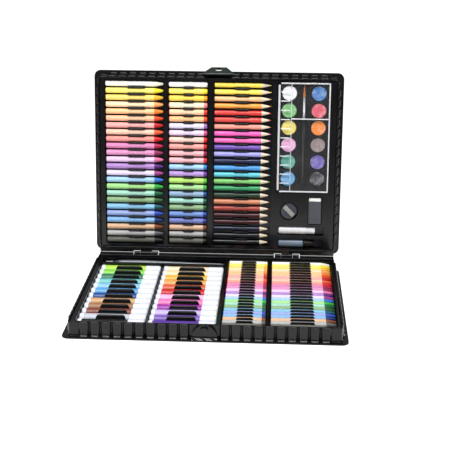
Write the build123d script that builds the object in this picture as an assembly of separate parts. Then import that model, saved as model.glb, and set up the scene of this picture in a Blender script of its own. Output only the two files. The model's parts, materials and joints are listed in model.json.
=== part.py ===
from build123d import *
import math
import os

# Drawing and painting art set: a two-half plastic case that opens like a book,
# with a formed insert in each half that holds sticks, markers, a palette and small tools.
# Millimetres. X runs along the hinge, the hinge is at the back (+Y), +Z is up.
# The origin is the centre of the tray's underside. The lid stands open at rest.

# Case halves
case_width = 390.0
case_depth = 288.0
half_height = 22.5
base_thick = 2.0
flange_overhang = 8.0
flange_corner = 10.0
wall_thick = 2.0
wall_corner = 6.0
rib_pitch = 15.2
rib_width = 10.5
rib_proud = 1.5
ribs_beside_latch = 10
ribs_beside_middle = 8
latch_rib_margin = 22.35

# Hinge along the back edge
open_angle = 96.0
rim_gap = 0.3
knuckle_radius = 3.2
hinge_pin_radius = 1.5
lid_bore_gap = 0.05
hinge_stations = (-112.0, 112.0)
knuckle_sides = 12
lid_knuckle_width = 18.0
tray_knuckle_width = 10.0
knuckle_gap = 0.3
gusset_drop = 7.5
heel_drop = 5.6
heel_top = 0.6

# Latch: pad and knob on the tray, clasp on the lid
pad_radius = 18.0
pad_proud = 3.5
pad_foot_proud = 7.0
pad_foot_high = 7.0
round_sides = 20
knob_radius = 5.2
knob_neck_radius = 4.6
knob_neck = 2.5
knob_head = 1.2
knob_below_rim = 6.5
clasp_width = 43.0
clasp_thick = 2.0
clasp_reach = 23.0
clasp_lip = 2.0
clasp_hole_gap = 0.2
clasp_pin_radius = 1.0
clasp_pin_gap = 0.05
clasp_barrel_radius = 2.2
clasp_depth_on_wall = 14.0
clasp_stand_off = 4.8
clasp_rest_angle = 159.0
clasp_lug_width = 4.0
clasp_lug_round = 2.5

# Formed inserts
sheet = 1.2
fit_gap = 0.3
deck_drop = 2.0
trough_margin = 1.0
tongue_above_stick = 0.0
tongue_above_marker = 2.0
tongue_shoulder = 2.5

# Sticks
stick_below_deck = 0.5
crayon_length = 90.0
crayon_radius = 4.2
crayon_cone = 11.0
crayon_point_radius = 1.6
pastel_length = 60.0
pastel_radius = 4.2
pencil_length = 88.0
pencil_radius = 3.75
pencil_cone = 15.0
pencil_point_radius = 0.4
stick_rows = 24
stick_sides = 8

# Markers
marker_length = 93.0
marker_radius = 7.5
marker_barrel_radius = 7.2
marker_plug_length = 6.5
marker_cap_length = 23.0
marker_rows = 12
marker_pitch = 19.3
marker_below_deck = 1.0

# Places of the columns in the tray, left ends along X and first row along Y
left_marker_x = -176.0
right_marker_x = -78.7
marker_first_y = 93.0
tray_pastel_x = 22.0
tray_crayon_x = 89.0
tray_stick_first_y = 122.6
tray_stick_pitch = 10.7

# Long brush behind the markers
long_brush_x = -174.0
long_brush_y = 117.5
long_bristle_length = 12.0
long_bristle_width = 11.0
long_bristle_thick = 3.2
long_ferrule_length = 11.0
long_brush_length = 188.0
long_brush_radius = 4.5
ferrule_wall = 0.4
brush_sides = 12
long_channel_width = 24.0
round_seat_gap = 0.05

# Places in the lid: X as in the tray, V up from the hinge line
lid_crayon_x = -175.0
lid_pastel_x = -76.3
lid_pencil_x = -5.0
lid_stick_first_v = 268.6
lid_stick_pitch = 10.8

# Watercolour palette
palette_x = 93.2
palette_top_v = 273.8
palette_width = 80.8
palette_height = 171.4
palette_low_w = 8.3
palette_base_high = 8.2
palette_floor = 1.5
palette_gap = 0.6
cake_radius = 11.5
cake_thick = 5.0
cake_gap = 0.3
cake_pitch = 26.7
cake_first_drop = 16.8
cake_side_inset = 17.5
cakes_in_column = 6
cake_sides = 12
cover_high = 3.8
cover_plate = 1.2
cover_rib = 1.5
cover_strip = 21.0
cover_break = 56.0
cover_cells = 12
cover_pivot_inset = 1.9
cover_barrel_radius = 1.7
cover_pin_radius = 1.0
ear_thick = 3.0
ear_gap = 0.3
palette_channel_width = 12.0
palette_brush_radius = 3.0
palette_brush_length = 146.0
palette_ferrule_length = 34.0
palette_bristle_length = 20.0

# Small tools in the lid
sharpener_x = 113.6
sharpener_v = 72.0
sharpener_radius = 12.75
sharpener_thick = 13.0
sharpener_top_w = 19.5
sharpener_gap = 0.6
sharpener_slot_width = 9.5
sharpener_slot_depth = 2.6
blade_length = 21.0
blade_width = 7.5
blade_thick = 0.8
pencil_bore_radius = 4.0
pencil_bore_depth = 20.0
pencil_bore_drop = 3.2
blade_screw_radius = 1.8
screw_head_high = 1.2
eraser_x = 144.3
eraser_low_v = 52.0
eraser_length = 42.0
eraser_bare = 5.6
eraser_width = 20.0
eraser_thick = 11.0
sleeve_thick = 0.5
eraser_top_w = 19.5
tube_radius = 6.5
tube_x = 98.0
white_tube_v = 41.0
white_body_length = 44.0
white_cap_length = 13.5
white_cap_radius = 5.75
grey_tube_v = 20.0
grey_body_length = 39.0
grey_cap_length = 18.0
grey_cap_radius = 6.0
tube_neck_radius = 3.5
tube_neck_length = 9.0
tube_neck_gap = 0.06
tube_edge = 0.8
tube_trough_end = 169.0
tube_top_w = 20.0

# Sizes that follow from the ones above
half_width = case_width / 2
half_depth = case_depth / 2
wall_x = half_width - flange_overhang
wall_y = half_depth - flange_overhang
cavity_x = wall_x - wall_thick
cavity_y = wall_y - wall_thick
pivot_z = half_height + rim_gap / 2
deck_z = half_height - deck_drop
stick_top = deck_z - stick_below_deck
lid_place = Pos(0, half_depth, pivot_z) * Rot(X=180 - open_angle) * Pos(0, 0, -pivot_z)


def slab(x0, x1, y0, y1, z0, z1):
    """Box between two corners."""
    centre = Pos((x0 + x1) / 2, (y0 + y1) / 2, (z0 + z1) / 2)
    return centre * Box(x1 - x0, y1 - y0, z1 - z0)


def bar_x(outline_yz, x0, x1):
    """Solid with a flat outline of (y, z) points, between two places along X."""
    plane = Plane(origin=(x0, 0, 0), x_dir=(0, 1, 0), z_dir=(1, 0, 0))
    return extrude(plane * Polygon(*outline_yz, align=None), amount=x1 - x0)


def rod_x(x0, x1, y, z, radius):
    """Round rod along X."""
    return Pos((x0 + x1) / 2, y, z) * Rot(Y=90) * Cylinder(radius, x1 - x0)


def ring(x, y, z, radius, sides, flat=1.0):
    """Corners of a many-sided ring square to X, whose flats touch a circle; flat below 1 squashes it."""
    reach = radius / math.cos(math.pi / sides)
    turns = [math.pi * (2 * index + 1) / sides for index in range(sides)]
    return [(x, y + reach * math.sin(turn), z + flat * reach * math.cos(turn)) for turn in turns]


def solid_between(rings, twisted=False):
    """Closed solid whose flat faces join a row of rings; twisted sides are split into triangles."""
    outlines = [rings[0], rings[-1]]
    sides = len(rings[0])
    for near, far in zip(rings, rings[1:]):
        for index in range(sides):
            after = (index + 1) % sides
            if twisted:
                outlines.append([near[index], near[after], far[after]])
                outlines.append([near[index], far[after], far[index]])
            else:
                outlines.append([near[index], near[after], far[after], far[index]])
    return Solid(Shell([Face(Wire.make_polygon(outline)) for outline in outlines]))


def faceted_x(x0, y, z, profile, sides):
    """Many-sided turned piece along X, from (distance, radius) points."""
    return solid_between([ring(x0 + distance, y, z, radius, sides) for distance, radius in profile])


def faceted_up(x, y, z0, z1, radius, sides):
    """Upright many-sided piece whose flats touch a circle."""
    outline = RegularPolygon(radius, sides, major_radius=False, rotation=180 / sides)
    return extrude(Pos(x, y, z0) * outline, amount=z1 - z0)


def rows(first, pitch, count):
    """Places of equal pitch, going down from the first."""
    return [first - pitch * index for index in range(count)]


# Case halves


def rib_places(first, count):
    """Rib centres on both sides of the middle of a wall."""
    one_side = [first + rib_pitch * index for index in range(count)]
    return [-place for place in one_side] + one_side


def case_half():
    """Ribbed tub with a wide rounded base flange."""
    outline = RectangleRounded(2 * wall_x, 2 * wall_y, wall_corner)
    ribs = []
    for x in rib_places(latch_rib_margin + rib_width / 2, ribs_beside_latch):
        ribs.append(Pos(x, 0) * Rectangle(rib_width, 2 * (wall_y + rib_proud)))
    for y in rib_places(rib_pitch / 2, ribs_beside_middle):
        ribs.append(Pos(0, y) * Rectangle(2 * (wall_x + rib_proud), rib_width))
    walls = extrude(outline + ribs, amount=half_height)
    flange = extrude(RectangleRounded(case_width, case_depth, flange_corner), amount=base_thick)
    hollow = Pos(0, 0, base_thick) * RectangleRounded(
        2 * cavity_x, 2 * cavity_y, wall_corner - wall_thick
    )
    return walls + flange - extrude(hollow, amount=half_height)


def hinge_arm(x0, x1):
    """Knuckle on the hinge line with its arm and gusset to the back wall."""
    low = pivot_z - knuckle_radius
    arm = [
        (wall_y - wall_thick / 2, low - gusset_drop),
        (half_depth - knuckle_radius / 2, low),
        (half_depth, low),
        (half_depth, half_height),
        (wall_y - wall_thick / 2, half_height),
    ]
    knuckle = faceted_x(
        x0, half_depth, pivot_z, [(0, knuckle_radius), (x1 - x0, knuckle_radius)], knuckle_sides
    )
    return bar_x(arm, x0, x1) + knuckle


def latch_pad():
    """Half-round pad on the front wall that sweeps outwards at its foot."""
    face = -(wall_y + pad_proud)
    foot = -(wall_y + pad_foot_proud)
    profile = [
        (-wall_y, half_height),
        (face, half_height),
        (face, base_thick + pad_foot_high),
        (0.7 * face + 0.3 * foot, base_thick + 0.5 * pad_foot_high),
        (0.3 * face + 0.7 * foot, base_thick + 0.2 * pad_foot_high),
        (foot, base_thick),
        (-wall_y, base_thick),
    ]
    middle = half_height - pad_radius
    plane = Plane(origin=(0, -wall_y, 0), x_dir=(1, 0, 0), z_dir=(0, -1, 0))
    disc = Pos(0, middle) * RegularPolygon(pad_radius, 2 * round_sides, major_radius=False)
    block = Pos(0, middle / 2) * Rectangle(2 * pad_radius, middle)
    outline = extrude(plane * (disc + block), amount=pad_foot_proud)
    return outline & bar_x(profile, -pad_radius, pad_radius)


def tray_shell():
    """Lower half: latch pad at the front, hinge arms and stop pads at the back."""
    added = [latch_pad()]
    inner = lid_knuckle_width / 2 + knuckle_gap
    reach = inner + tray_knuckle_width
    for station in hinge_stations:
        added.append(hinge_arm(station - reach, station - inner))
        added.append(hinge_arm(station + inner, station + reach))
        added.append(
            slab(station - reach, station + reach, wall_y, wall_y + rib_proud, base_thick, half_height)
        )
    return case_half() + added


def latch_knob():
    """Mushroom knob that the clasp snaps over."""
    height = half_height - knob_below_rim
    profile = [
        (0, knob_neck_radius),
        (knob_neck, knob_neck_radius),
        (knob_neck, knob_radius),
        (knob_neck + knob_head, knob_radius),
    ]
    knob = faceted_x(0, 0, 0, profile, round_sides)
    return Pos(0, -(wall_y + pad_proud), height) * Rot(Z=-90) * knob


def hinge_pins():
    """Steel pins, each held between the tray's two knuckles of a station."""
    reach = lid_knuckle_width / 2 + knuckle_gap
    return [
        rod_x(station - reach, station + reach, half_depth, pivot_z, hinge_pin_radius)
        for station in hinge_stations
    ]


def lid_shell():
    """Upper half: knuckles with stop heels at the hinge, clasp lugs at the far wall."""
    half = case_half()
    half_knuckle = lid_knuckle_width / 2
    for station in hinge_stations:
        half += hinge_arm(station - half_knuckle, station + half_knuckle)
    shell = Pos(0, half_depth, 0) * Rot(Z=180) * half
    wall_v = case_depth - flange_overhang
    for side in (-1, 1):
        near = side * (clasp_width / 2 + knuckle_gap)
        far = near + side * clasp_lug_width
        shell += slab(
            min(near, far),
            max(near, far),
            wall_v - wall_thick / 2,
            wall_v + clasp_stand_off + clasp_lug_round,
            clasp_depth_on_wall - clasp_lug_round,
            clasp_depth_on_wall + clasp_lug_round,
        )
    shell = lid_place * shell
    stop_y = wall_y + rib_proud
    heel = [
        (half_depth, pivot_z - heel_top),
        (stop_y, pivot_z - heel_top),
        (stop_y, pivot_z - heel_drop),
        (half_depth, pivot_z - knuckle_radius + heel_top),
    ]
    for station in hinge_stations:
        x0, x1 = station - half_knuckle, station + half_knuckle
        shell += bar_x(heel, x0, x1)
        shell -= rod_x(x0 - 1, x1 + 1, half_depth, pivot_z, hinge_pin_radius + lid_bore_gap)
    return shell


def latch_clasp():
    """Tapered tab on a barrel, with a round hole that snaps over the knob."""
    half = clasp_width / 2
    taper_from = 0.3 * clasp_reach
    tip_half = 0.56 * half
    outline = Polygon(
        (-half, 0),
        (half, 0),
        (half, taper_from),
        (tip_half, clasp_reach),
        (-tip_half, clasp_reach),
        (-half, taper_from),
        align=None,
    )
    plane = Plane(origin=(0, clasp_thick / 2, 0), x_dir=(1, 0, 0), z_dir=(0, -1, 0))
    pivot_when_shut = 2 * pivot_z - clasp_depth_on_wall
    hole = RegularPolygon(knob_radius + clasp_hole_gap, round_sides, major_radius=False)
    hole = Pos(0, pivot_when_shut - half_height + knob_below_rim) * hole
    plate = extrude(plane * (outline - hole), amount=clasp_thick)
    lip = slab(-tip_half, tip_half, 0, clasp_thick / 2 + clasp_lip, clasp_reach - clasp_lip, clasp_reach)
    barrel_profile = [(0, clasp_barrel_radius), (clasp_width, clasp_barrel_radius)]
    clasp = plate + lip + faceted_x(-half, 0, 0, barrel_profile, knuckle_sides)
    clasp -= rod_x(-half - 1, half + 1, 0, 0, clasp_pin_radius + clasp_pin_gap)
    pivot_v = case_depth - flange_overhang + clasp_stand_off
    return lid_place * Pos(0, pivot_v, clasp_depth_on_wall) * Rot(X=-clasp_rest_angle) * clasp


def clasp_pin():
    """Pin between the clasp's two lugs."""
    reach = clasp_width / 2 + knuckle_gap
    pivot_v = case_depth - flange_overhang + clasp_stand_off
    return lid_place * rod_x(-reach, reach, pivot_v, clasp_depth_on_wall, clasp_pin_radius)


# Inserts


def trough(x0, x1, y0, y1, floor):
    """Rectangular pocket: its hollow and the formed sheet round it."""
    hollow = slab(x0, x1, y0, y1, floor, half_height)
    skin = slab(x0 - sheet, x1 + sheet, y0 - sheet, y1 + sheet, floor - sheet, deck_z)
    return skin, hollow


def round_trough(x, y, radius, floor):
    """Round pocket: its hollow and the formed sheet round it."""
    hollow = faceted_up(x, y, floor, half_height, radius, round_sides)
    skin = faceted_up(x, y, floor - sheet, deck_z, radius + sheet, round_sides)
    return skin, hollow


def tongues(x, length, places, pitch, floor, top, thick):
    """Tapered ridges that stand between neighbouring sticks."""
    outline = Polygon(
        (x, floor - sheet / 2),
        (x + length, floor - sheet / 2),
        (x + length - tongue_shoulder, top),
        (x + tongue_shoulder, top),
        align=None,
    )
    made = []
    for place in places[:-1]:
        plane = Plane(origin=(0, place - pitch / 2 + thick / 2, 0), x_dir=(1, 0, 0), z_dir=(0, -1, 0))
        made.append(extrude(plane * outline, amount=thick))
    return made


def formed_insert(pockets, ridges, centre_y):
    """Deck with a skirt down to the case floor, pockets hung from it and ridges in them."""
    outer_x = cavity_x - fit_gap
    outer_y = cavity_y - fit_gap
    corner = wall_corner - wall_thick - fit_gap
    block = RectangleRounded(2 * outer_x, 2 * outer_y, corner)
    inner = RectangleRounded(2 * (outer_x - sheet), 2 * (outer_y - sheet), corner - sheet)
    body = extrude(Pos(0, centre_y, base_thick) * block, amount=deck_z - base_thick)
    body -= extrude(Pos(0, centre_y, base_thick) * inner, amount=deck_z - base_thick - sheet)
    body += [skin for skin, _ in pockets]
    body -= [hollow for _, hollow in pockets]
    return body + ridges


def stick_pocket(x, length, places, radius, top):
    """Pocket for a column of sticks that lie along X."""
    return trough(
        x - trough_margin,
        x + length + trough_margin,
        places[-1] - radius - trough_margin,
        places[0] + radius + trough_margin,
        top - 2 * radius,
    )


crayon_tongue_x, crayon_tongue_length = 44.0, 29.0
pastel_tongue_x, pastel_tongue_length = 20.0, 20.0
pencil_tongue_x, pencil_tongue_length = 30.0, 21.0
marker_tongue_x, marker_tongue_length = 26.0, 39.0
stick_tongue_thick = 1.7
marker_tongue_thick = 3.6
pencil_top = stick_top - 0.4
stick_tongue_top = stick_top + tongue_above_stick
marker_top = deck_z - marker_below_deck
marker_floor = marker_top - 2 * marker_radius
long_brush_z = deck_z - stick_below_deck - long_brush_radius


def tray_insert():
    """Insert of the lower half: two marker pockets, a brush channel, pastels and crayons."""
    sticks = rows(tray_stick_first_y, tray_stick_pitch, stick_rows)
    markers = rows(marker_first_y, marker_pitch, marker_rows)
    brush_end = right_marker_x + marker_length + trough_margin
    pockets = [
        stick_pocket(left_marker_x, marker_length, markers, marker_radius, marker_top),
        stick_pocket(right_marker_x, marker_length, markers, marker_radius, marker_top),
        stick_pocket(tray_pastel_x, pastel_length, sticks, pastel_radius, stick_top),
        stick_pocket(tray_crayon_x, crayon_length, sticks, crayon_radius, stick_top),
        trough(
            left_marker_x - trough_margin,
            brush_end,
            long_brush_y - long_channel_width / 2,
            long_brush_y + long_channel_width / 2,
            long_brush_z - long_brush_radius - round_seat_gap,
        ),
    ]
    stick_floor = stick_top - 2 * crayon_radius
    ridges = []
    for x in (left_marker_x, right_marker_x):
        ridges += tongues(
            x + marker_tongue_x,
            marker_tongue_length,
            markers,
            marker_pitch,
            marker_floor,
            marker_top + tongue_above_marker,
            marker_tongue_thick,
        )
    for x, start, length in (
        (tray_pastel_x, pastel_tongue_x, pastel_tongue_length),
        (tray_crayon_x, crayon_tongue_x, crayon_tongue_length),
    ):
        ridges += tongues(
            x + start,
            length,
            sticks,
            tray_stick_pitch,
            stick_floor,
            stick_tongue_top,
            stick_tongue_thick,
        )
    return formed_insert(pockets, ridges, 0)


def lid_insert():
    """Insert of the lid: crayons, pastels, pencils, palette, sharpener, eraser and two tubes."""
    sticks = rows(lid_stick_first_v, lid_stick_pitch, stick_rows)
    pockets = [
        stick_pocket(lid_crayon_x, crayon_length, sticks, crayon_radius, stick_top),
        stick_pocket(lid_pastel_x, pastel_length, sticks, pastel_radius, stick_top),
        stick_pocket(lid_pencil_x, pencil_length, sticks, pencil_radius, pencil_top),
        trough(
            palette_x - palette_gap,
            palette_x + palette_width + palette_gap,
            palette_top_v - palette_height - palette_gap,
            palette_top_v + palette_gap,
            palette_low_w,
        ),
        round_trough(
            sharpener_x,
            sharpener_v,
            sharpener_radius + sharpener_gap,
            sharpener_top_w - sharpener_thick,
        ),
        trough(
            eraser_x - sharpener_gap,
            eraser_x + eraser_width + sharpener_gap,
            eraser_low_v - sharpener_gap,
            eraser_low_v + eraser_length + sharpener_gap,
            eraser_top_w - eraser_thick,
        ),
    ]
    for v in (white_tube_v, grey_tube_v):
        pockets.append(
            trough(
                tube_x - sharpener_gap,
                tube_trough_end,
                v - tube_radius - sharpener_gap,
                v + tube_radius + sharpener_gap,
                tube_top_w - 2 * tube_radius - round_seat_gap,
            )
        )
    ridges = []
    for x, length, radius, top in (
        (lid_crayon_x + crayon_tongue_x, crayon_tongue_length, crayon_radius, stick_top),
        (lid_pastel_x + pastel_tongue_x, pastel_tongue_length, pastel_radius, stick_top),
        (lid_pencil_x + pencil_tongue_x, pencil_tongue_length, pencil_radius, pencil_top),
    ):
        ridges += tongues(
            x,
            length,
            sticks,
            lid_stick_pitch,
            top - 2 * radius,
            top + tongue_above_stick,
            stick_tongue_thick,
        )
    return lid_place * formed_insert(pockets, ridges, half_depth)


# Sticks and markers


def crayons(x, places):
    """Column of wax crayons: a wrapped bar with a blunt cone at the right."""
    profile = [
        (0, crayon_radius),
        (crayon_length - crayon_cone, crayon_radius),
        (crayon_length, crayon_point_radius),
    ]
    z = stick_top - crayon_radius
    return [faceted_x(x, place, z, profile, stick_sides) for place in places]


def pastels(x, places):
    """Column of blunt oil pastels."""
    profile = [(0, pastel_radius), (pastel_length, pastel_radius)]
    z = stick_top - pastel_radius
    return [faceted_x(x, place, z, profile, stick_sides) for place in places]


def pencils(x, places):
    """Column of half-length colouring pencils with sharpened ends at the right."""
    profile = [
        (0, pencil_radius),
        (pencil_length - pencil_cone, pencil_radius),
        (pencil_length, pencil_point_radius),
    ]
    z = pencil_top - pencil_radius
    return [faceted_x(x, place, z, profile, stick_sides) for place in places]


def marker_pieces(x):
    """Column of markers: rear plugs, barrels and caps, as three lists."""
    barrel_length = marker_length - marker_plug_length - marker_cap_length
    z = marker_top - marker_radius
    made = []
    start = x
    for length, radius in (
        (marker_plug_length, marker_radius),
        (barrel_length, marker_barrel_radius),
        (marker_cap_length, marker_radius),
    ):
        profile = [(0, radius), (length, radius)]
        places = rows(marker_first_y, marker_pitch, marker_rows)
        made.append([faceted_x(start, place, z, profile, stick_sides) for place in places])
        start += length
    return made


# Brushes


def long_brush():
    """Flat-tipped brush: bristles, ferrule and tapering handle, left to right."""
    half_wide = long_bristle_width / 2
    half_high = long_bristle_thick / 2
    tip = slab(
        long_brush_x,
        long_brush_x + long_bristle_length,
        long_brush_y - half_wide,
        long_brush_y + half_wide,
        long_brush_z - half_high,
        long_brush_z + half_high,
    )
    ferrule_from = long_brush_x + long_bristle_length
    handle_from = ferrule_from + long_ferrule_length
    flat = (half_high + ferrule_wall) / (half_wide + ferrule_wall)
    place = (long_brush_y, long_brush_z)
    round_end = long_brush_radius - ferrule_wall
    ferrule = solid_between(
        [
            ring(ferrule_from, *place, half_wide + ferrule_wall, brush_sides, flat),
            ring(handle_from, *place, round_end, brush_sides),
        ],
        twisted=True,
    )
    handle_length = long_brush_length - long_bristle_length - long_ferrule_length
    profile = [
        (0, round_end - ferrule_wall),
        (0.16 * handle_length, long_brush_radius),
        (0.3 * handle_length, 0.94 * long_brush_radius),
        (0.6 * handle_length, 0.6 * long_brush_radius),
        (0.97 * handle_length, 0.36 * long_brush_radius),
        (handle_length, 0.2 * long_brush_radius),
    ]
    return tip, ferrule, faceted_x(handle_from, *place, profile, brush_sides)


palette_middle_x = palette_x + palette_width / 2
palette_base_top = palette_low_w + palette_base_high
palette_channel_floor = palette_base_top - 2 * palette_brush_radius - 2 * round_seat_gap


def palette_brush():
    """Small round brush in the middle of the palette, tip up."""
    axis_w = palette_channel_floor + palette_brush_radius + round_seat_gap
    low_v = palette_top_v - (palette_height + palette_brush_length) / 2
    radius = palette_brush_radius
    handle_length = palette_brush_length - palette_ferrule_length - palette_bristle_length
    handle = [
        (0, 0.45 * radius),
        (0.5 * handle_length, 0.8 * radius),
        (0.85 * handle_length, radius),
        (handle_length, 0.8 * radius),
    ]
    ferrule = [(0, 0.85 * radius), (palette_ferrule_length, 0.72 * radius)]
    bristles = [
        (0, 0.7 * radius),
        (0.35 * palette_bristle_length, 0.95 * radius),
        (0.75 * palette_bristle_length, 0.6 * radius),
        (palette_bristle_length, 0.12 * radius),
    ]
    made = []
    start = 0
    for profile in (handle, ferrule, bristles):
        piece = Rot(Z=90) * faceted_x(start, 0, 0, profile, stick_sides)
        made.append(lid_place * Pos(palette_middle_x, low_v, axis_w) * piece)
        start += profile[-1][0]
    return made


# Palette


def cake_places(side):
    """Centres of one column of paint cakes."""
    x = palette_middle_x + side * (palette_width / 2 - cake_side_inset)
    return [(x, v) for v in rows(palette_top_v - cake_first_drop, cake_pitch, cakes_in_column)]


def cover_pivot():
    """Place of the cover's hinge line in the lid's X and W."""
    return palette_x + cover_pivot_inset, palette_base_top + cover_pivot_inset


def palette_base():
    """Moulded base with twelve wells, a brush channel and two hinge ears."""
    low_v = palette_top_v - palette_height
    high_x = palette_x + palette_width
    base = slab(palette_x, high_x, low_v, palette_top_v, palette_low_w, palette_base_top)
    wells = []
    floor = palette_low_w + palette_floor
    for side in (-1, 1):
        for x, v in cake_places(side):
            wells.append(faceted_up(x, v, floor, half_height, cake_radius + cake_gap, cake_sides))
    half = palette_channel_width / 2
    end = (palette_height - palette_brush_length) / 2 - 2
    wells.append(
        slab(
            palette_middle_x - half,
            palette_middle_x + half,
            low_v + end,
            palette_top_v - end,
            palette_channel_floor,
            half_height,
        )
    )
    base -= wells
    pivot_x, pivot_w = cover_pivot()
    for v in (low_v, palette_top_v - ear_thick):
        centre = Pos(pivot_x, v + ear_thick / 2, pivot_w) * Rot(X=90)
        ear = centre * Cylinder(cover_pivot_inset, ear_thick)
        foot = slab(palette_x, pivot_x + cover_pivot_inset, v, v + ear_thick, palette_low_w + 1, pivot_w)
        bore = centre * Cylinder(cover_pin_radius + clasp_pin_gap, 2 * ear_thick)
        base = base + [ear, foot] - bore
    return lid_place * base


def paint_cakes(side):
    """One column of round paint cakes."""
    floor = palette_low_w + palette_floor
    return placed_in_lid(
        faceted_up(x, v, floor, floor + cake_thick, cake_radius, cake_sides)
        for x, v in cake_places(side)
    )


def palette_cover():
    """Clear hinged cover that is a mixing tray: a plate with a frame and dividing ribs."""
    low_v = palette_top_v - palette_height
    high_x = palette_x + palette_width
    pivot_x, pivot_w = cover_pivot()
    plate_top = palette_base_top + cover_plate
    top = palette_base_top + cover_high
    left = pivot_x + cover_pivot_inset + 2 * ear_gap
    barrel_low = low_v + ear_thick + ear_gap
    barrel_high = palette_top_v - ear_thick - ear_gap
    cover = slab(left, high_x, low_v, palette_top_v, palette_base_top, plate_top)
    strip_x = palette_x + cover_strip
    break_v = palette_top_v - cover_break
    half = cover_rib / 2
    added = [
        slab(pivot_x, left, barrel_low, barrel_high, palette_base_top, plate_top),
        slab(left, left + cover_rib, low_v, palette_top_v, palette_base_top, top),
        slab(high_x - cover_rib, high_x, low_v, palette_top_v, palette_base_top, top),
        slab(left, high_x, low_v, low_v + cover_rib, palette_base_top, top),
        slab(left, high_x, palette_top_v - cover_rib, palette_top_v, palette_base_top, top),
        slab(strip_x - half, strip_x + half, low_v, palette_top_v, palette_base_top, top),
        slab(strip_x, high_x, break_v - half, break_v + half, palette_base_top, top),
    ]
    cell = palette_height / cover_cells
    for index in range(1, cover_cells):
        v = low_v + cell * index
        added.append(slab(left, strip_x, v - half, v + half, palette_base_top, top))
    middle = (barrel_low + barrel_high) / 2
    turn = Rot(X=90)
    added.append(
        Pos(pivot_x, middle, pivot_w) * turn * Cylinder(cover_barrel_radius, barrel_high - barrel_low)
    )
    pin_length = palette_height - 2 * ear_gap
    pin = Pos(pivot_x, middle, pivot_w) * turn * Cylinder(cover_pin_radius, pin_length)
    return lid_place * (cover + added + pin)


# Small tools


def sharpener():
    """Round pencil sharpener: body, slanted blade and its screw."""
    slot_floor = sharpener_thick - sharpener_slot_depth
    body = faceted_up(0, 0, 0, sharpener_thick, sharpener_radius, round_sides)
    half_slot = sharpener_slot_width / 2
    body -= slab(
        -2 * sharpener_radius, 2 * sharpener_radius, -half_slot, half_slot, slot_floor, half_height
    )
    bore = faceted_x(
        sharpener_radius - pencil_bore_depth,
        0,
        slot_floor - pencil_bore_drop,
        [(0, blade_screw_radius / 2), (pencil_bore_depth, pencil_bore_radius)],
        round_sides,
    )
    body -= bore
    half_long, half_wide = blade_length / 2, blade_width / 2
    blade_top = slot_floor + blade_thick
    blade = slab(-half_long, half_long, -half_wide, half_wide, slot_floor, blade_top)
    head = faceted_up(0, 0, blade_top, blade_top + screw_head_high, blade_screw_radius, knuckle_sides)
    place = lid_place * Pos(sharpener_x, sharpener_v, sharpener_top_w - sharpener_thick) * Rot(Z=-45)
    return place * body, place * blade, place * head


def eraser():
    """White eraser block in an open-ended card sleeve."""
    x1 = eraser_x + eraser_width
    low_w = eraser_top_w - eraser_thick
    high_v = eraser_low_v + eraser_length
    block = slab(
        eraser_x + sleeve_thick,
        x1 - sleeve_thick,
        eraser_low_v,
        high_v,
        low_w + sleeve_thick,
        eraser_top_w - sleeve_thick,
    )
    sleeve_high = high_v - eraser_bare
    sleeve = slab(eraser_x, x1, eraser_low_v, sleeve_high, low_w, eraser_top_w) - block
    return lid_place * block, lid_place * sleeve


def tube(v, body_length, cap_length, cap_radius):
    """Round tube with a shouldered neck, and its pull-off cap."""
    axis_w = tube_top_w - tube_radius
    shoulder = tube_radius - tube_edge
    body_profile = [
        (0, shoulder),
        (tube_edge, tube_radius),
        (body_length - tube_edge, tube_radius),
        (body_length, shoulder),
        (body_length, tube_neck_radius),
        (body_length + tube_neck_length, tube_neck_radius),
    ]
    body = faceted_x(tube_x, v, axis_w, body_profile, brush_sides)
    cap_from = tube_x + body_length
    cap_profile = [(0, cap_radius), (cap_length - tube_edge, cap_radius), (cap_length, cap_radius - tube_edge)]
    bore = tube_neck_radius + tube_neck_gap
    bore_profile = [(0, bore), (tube_neck_length + fit_gap, bore)]
    cap = faceted_x(cap_from, v, axis_w, cap_profile, brush_sides)
    cap -= faceted_x(cap_from, v, axis_w, bore_profile, brush_sides)
    return lid_place * body, lid_place * cap


# The whole set


def placed_in_lid(shapes):
    """Shapes made in the lid's own frame, moved to the open lid."""
    return [lid_place * shape for shape in shapes]


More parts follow.
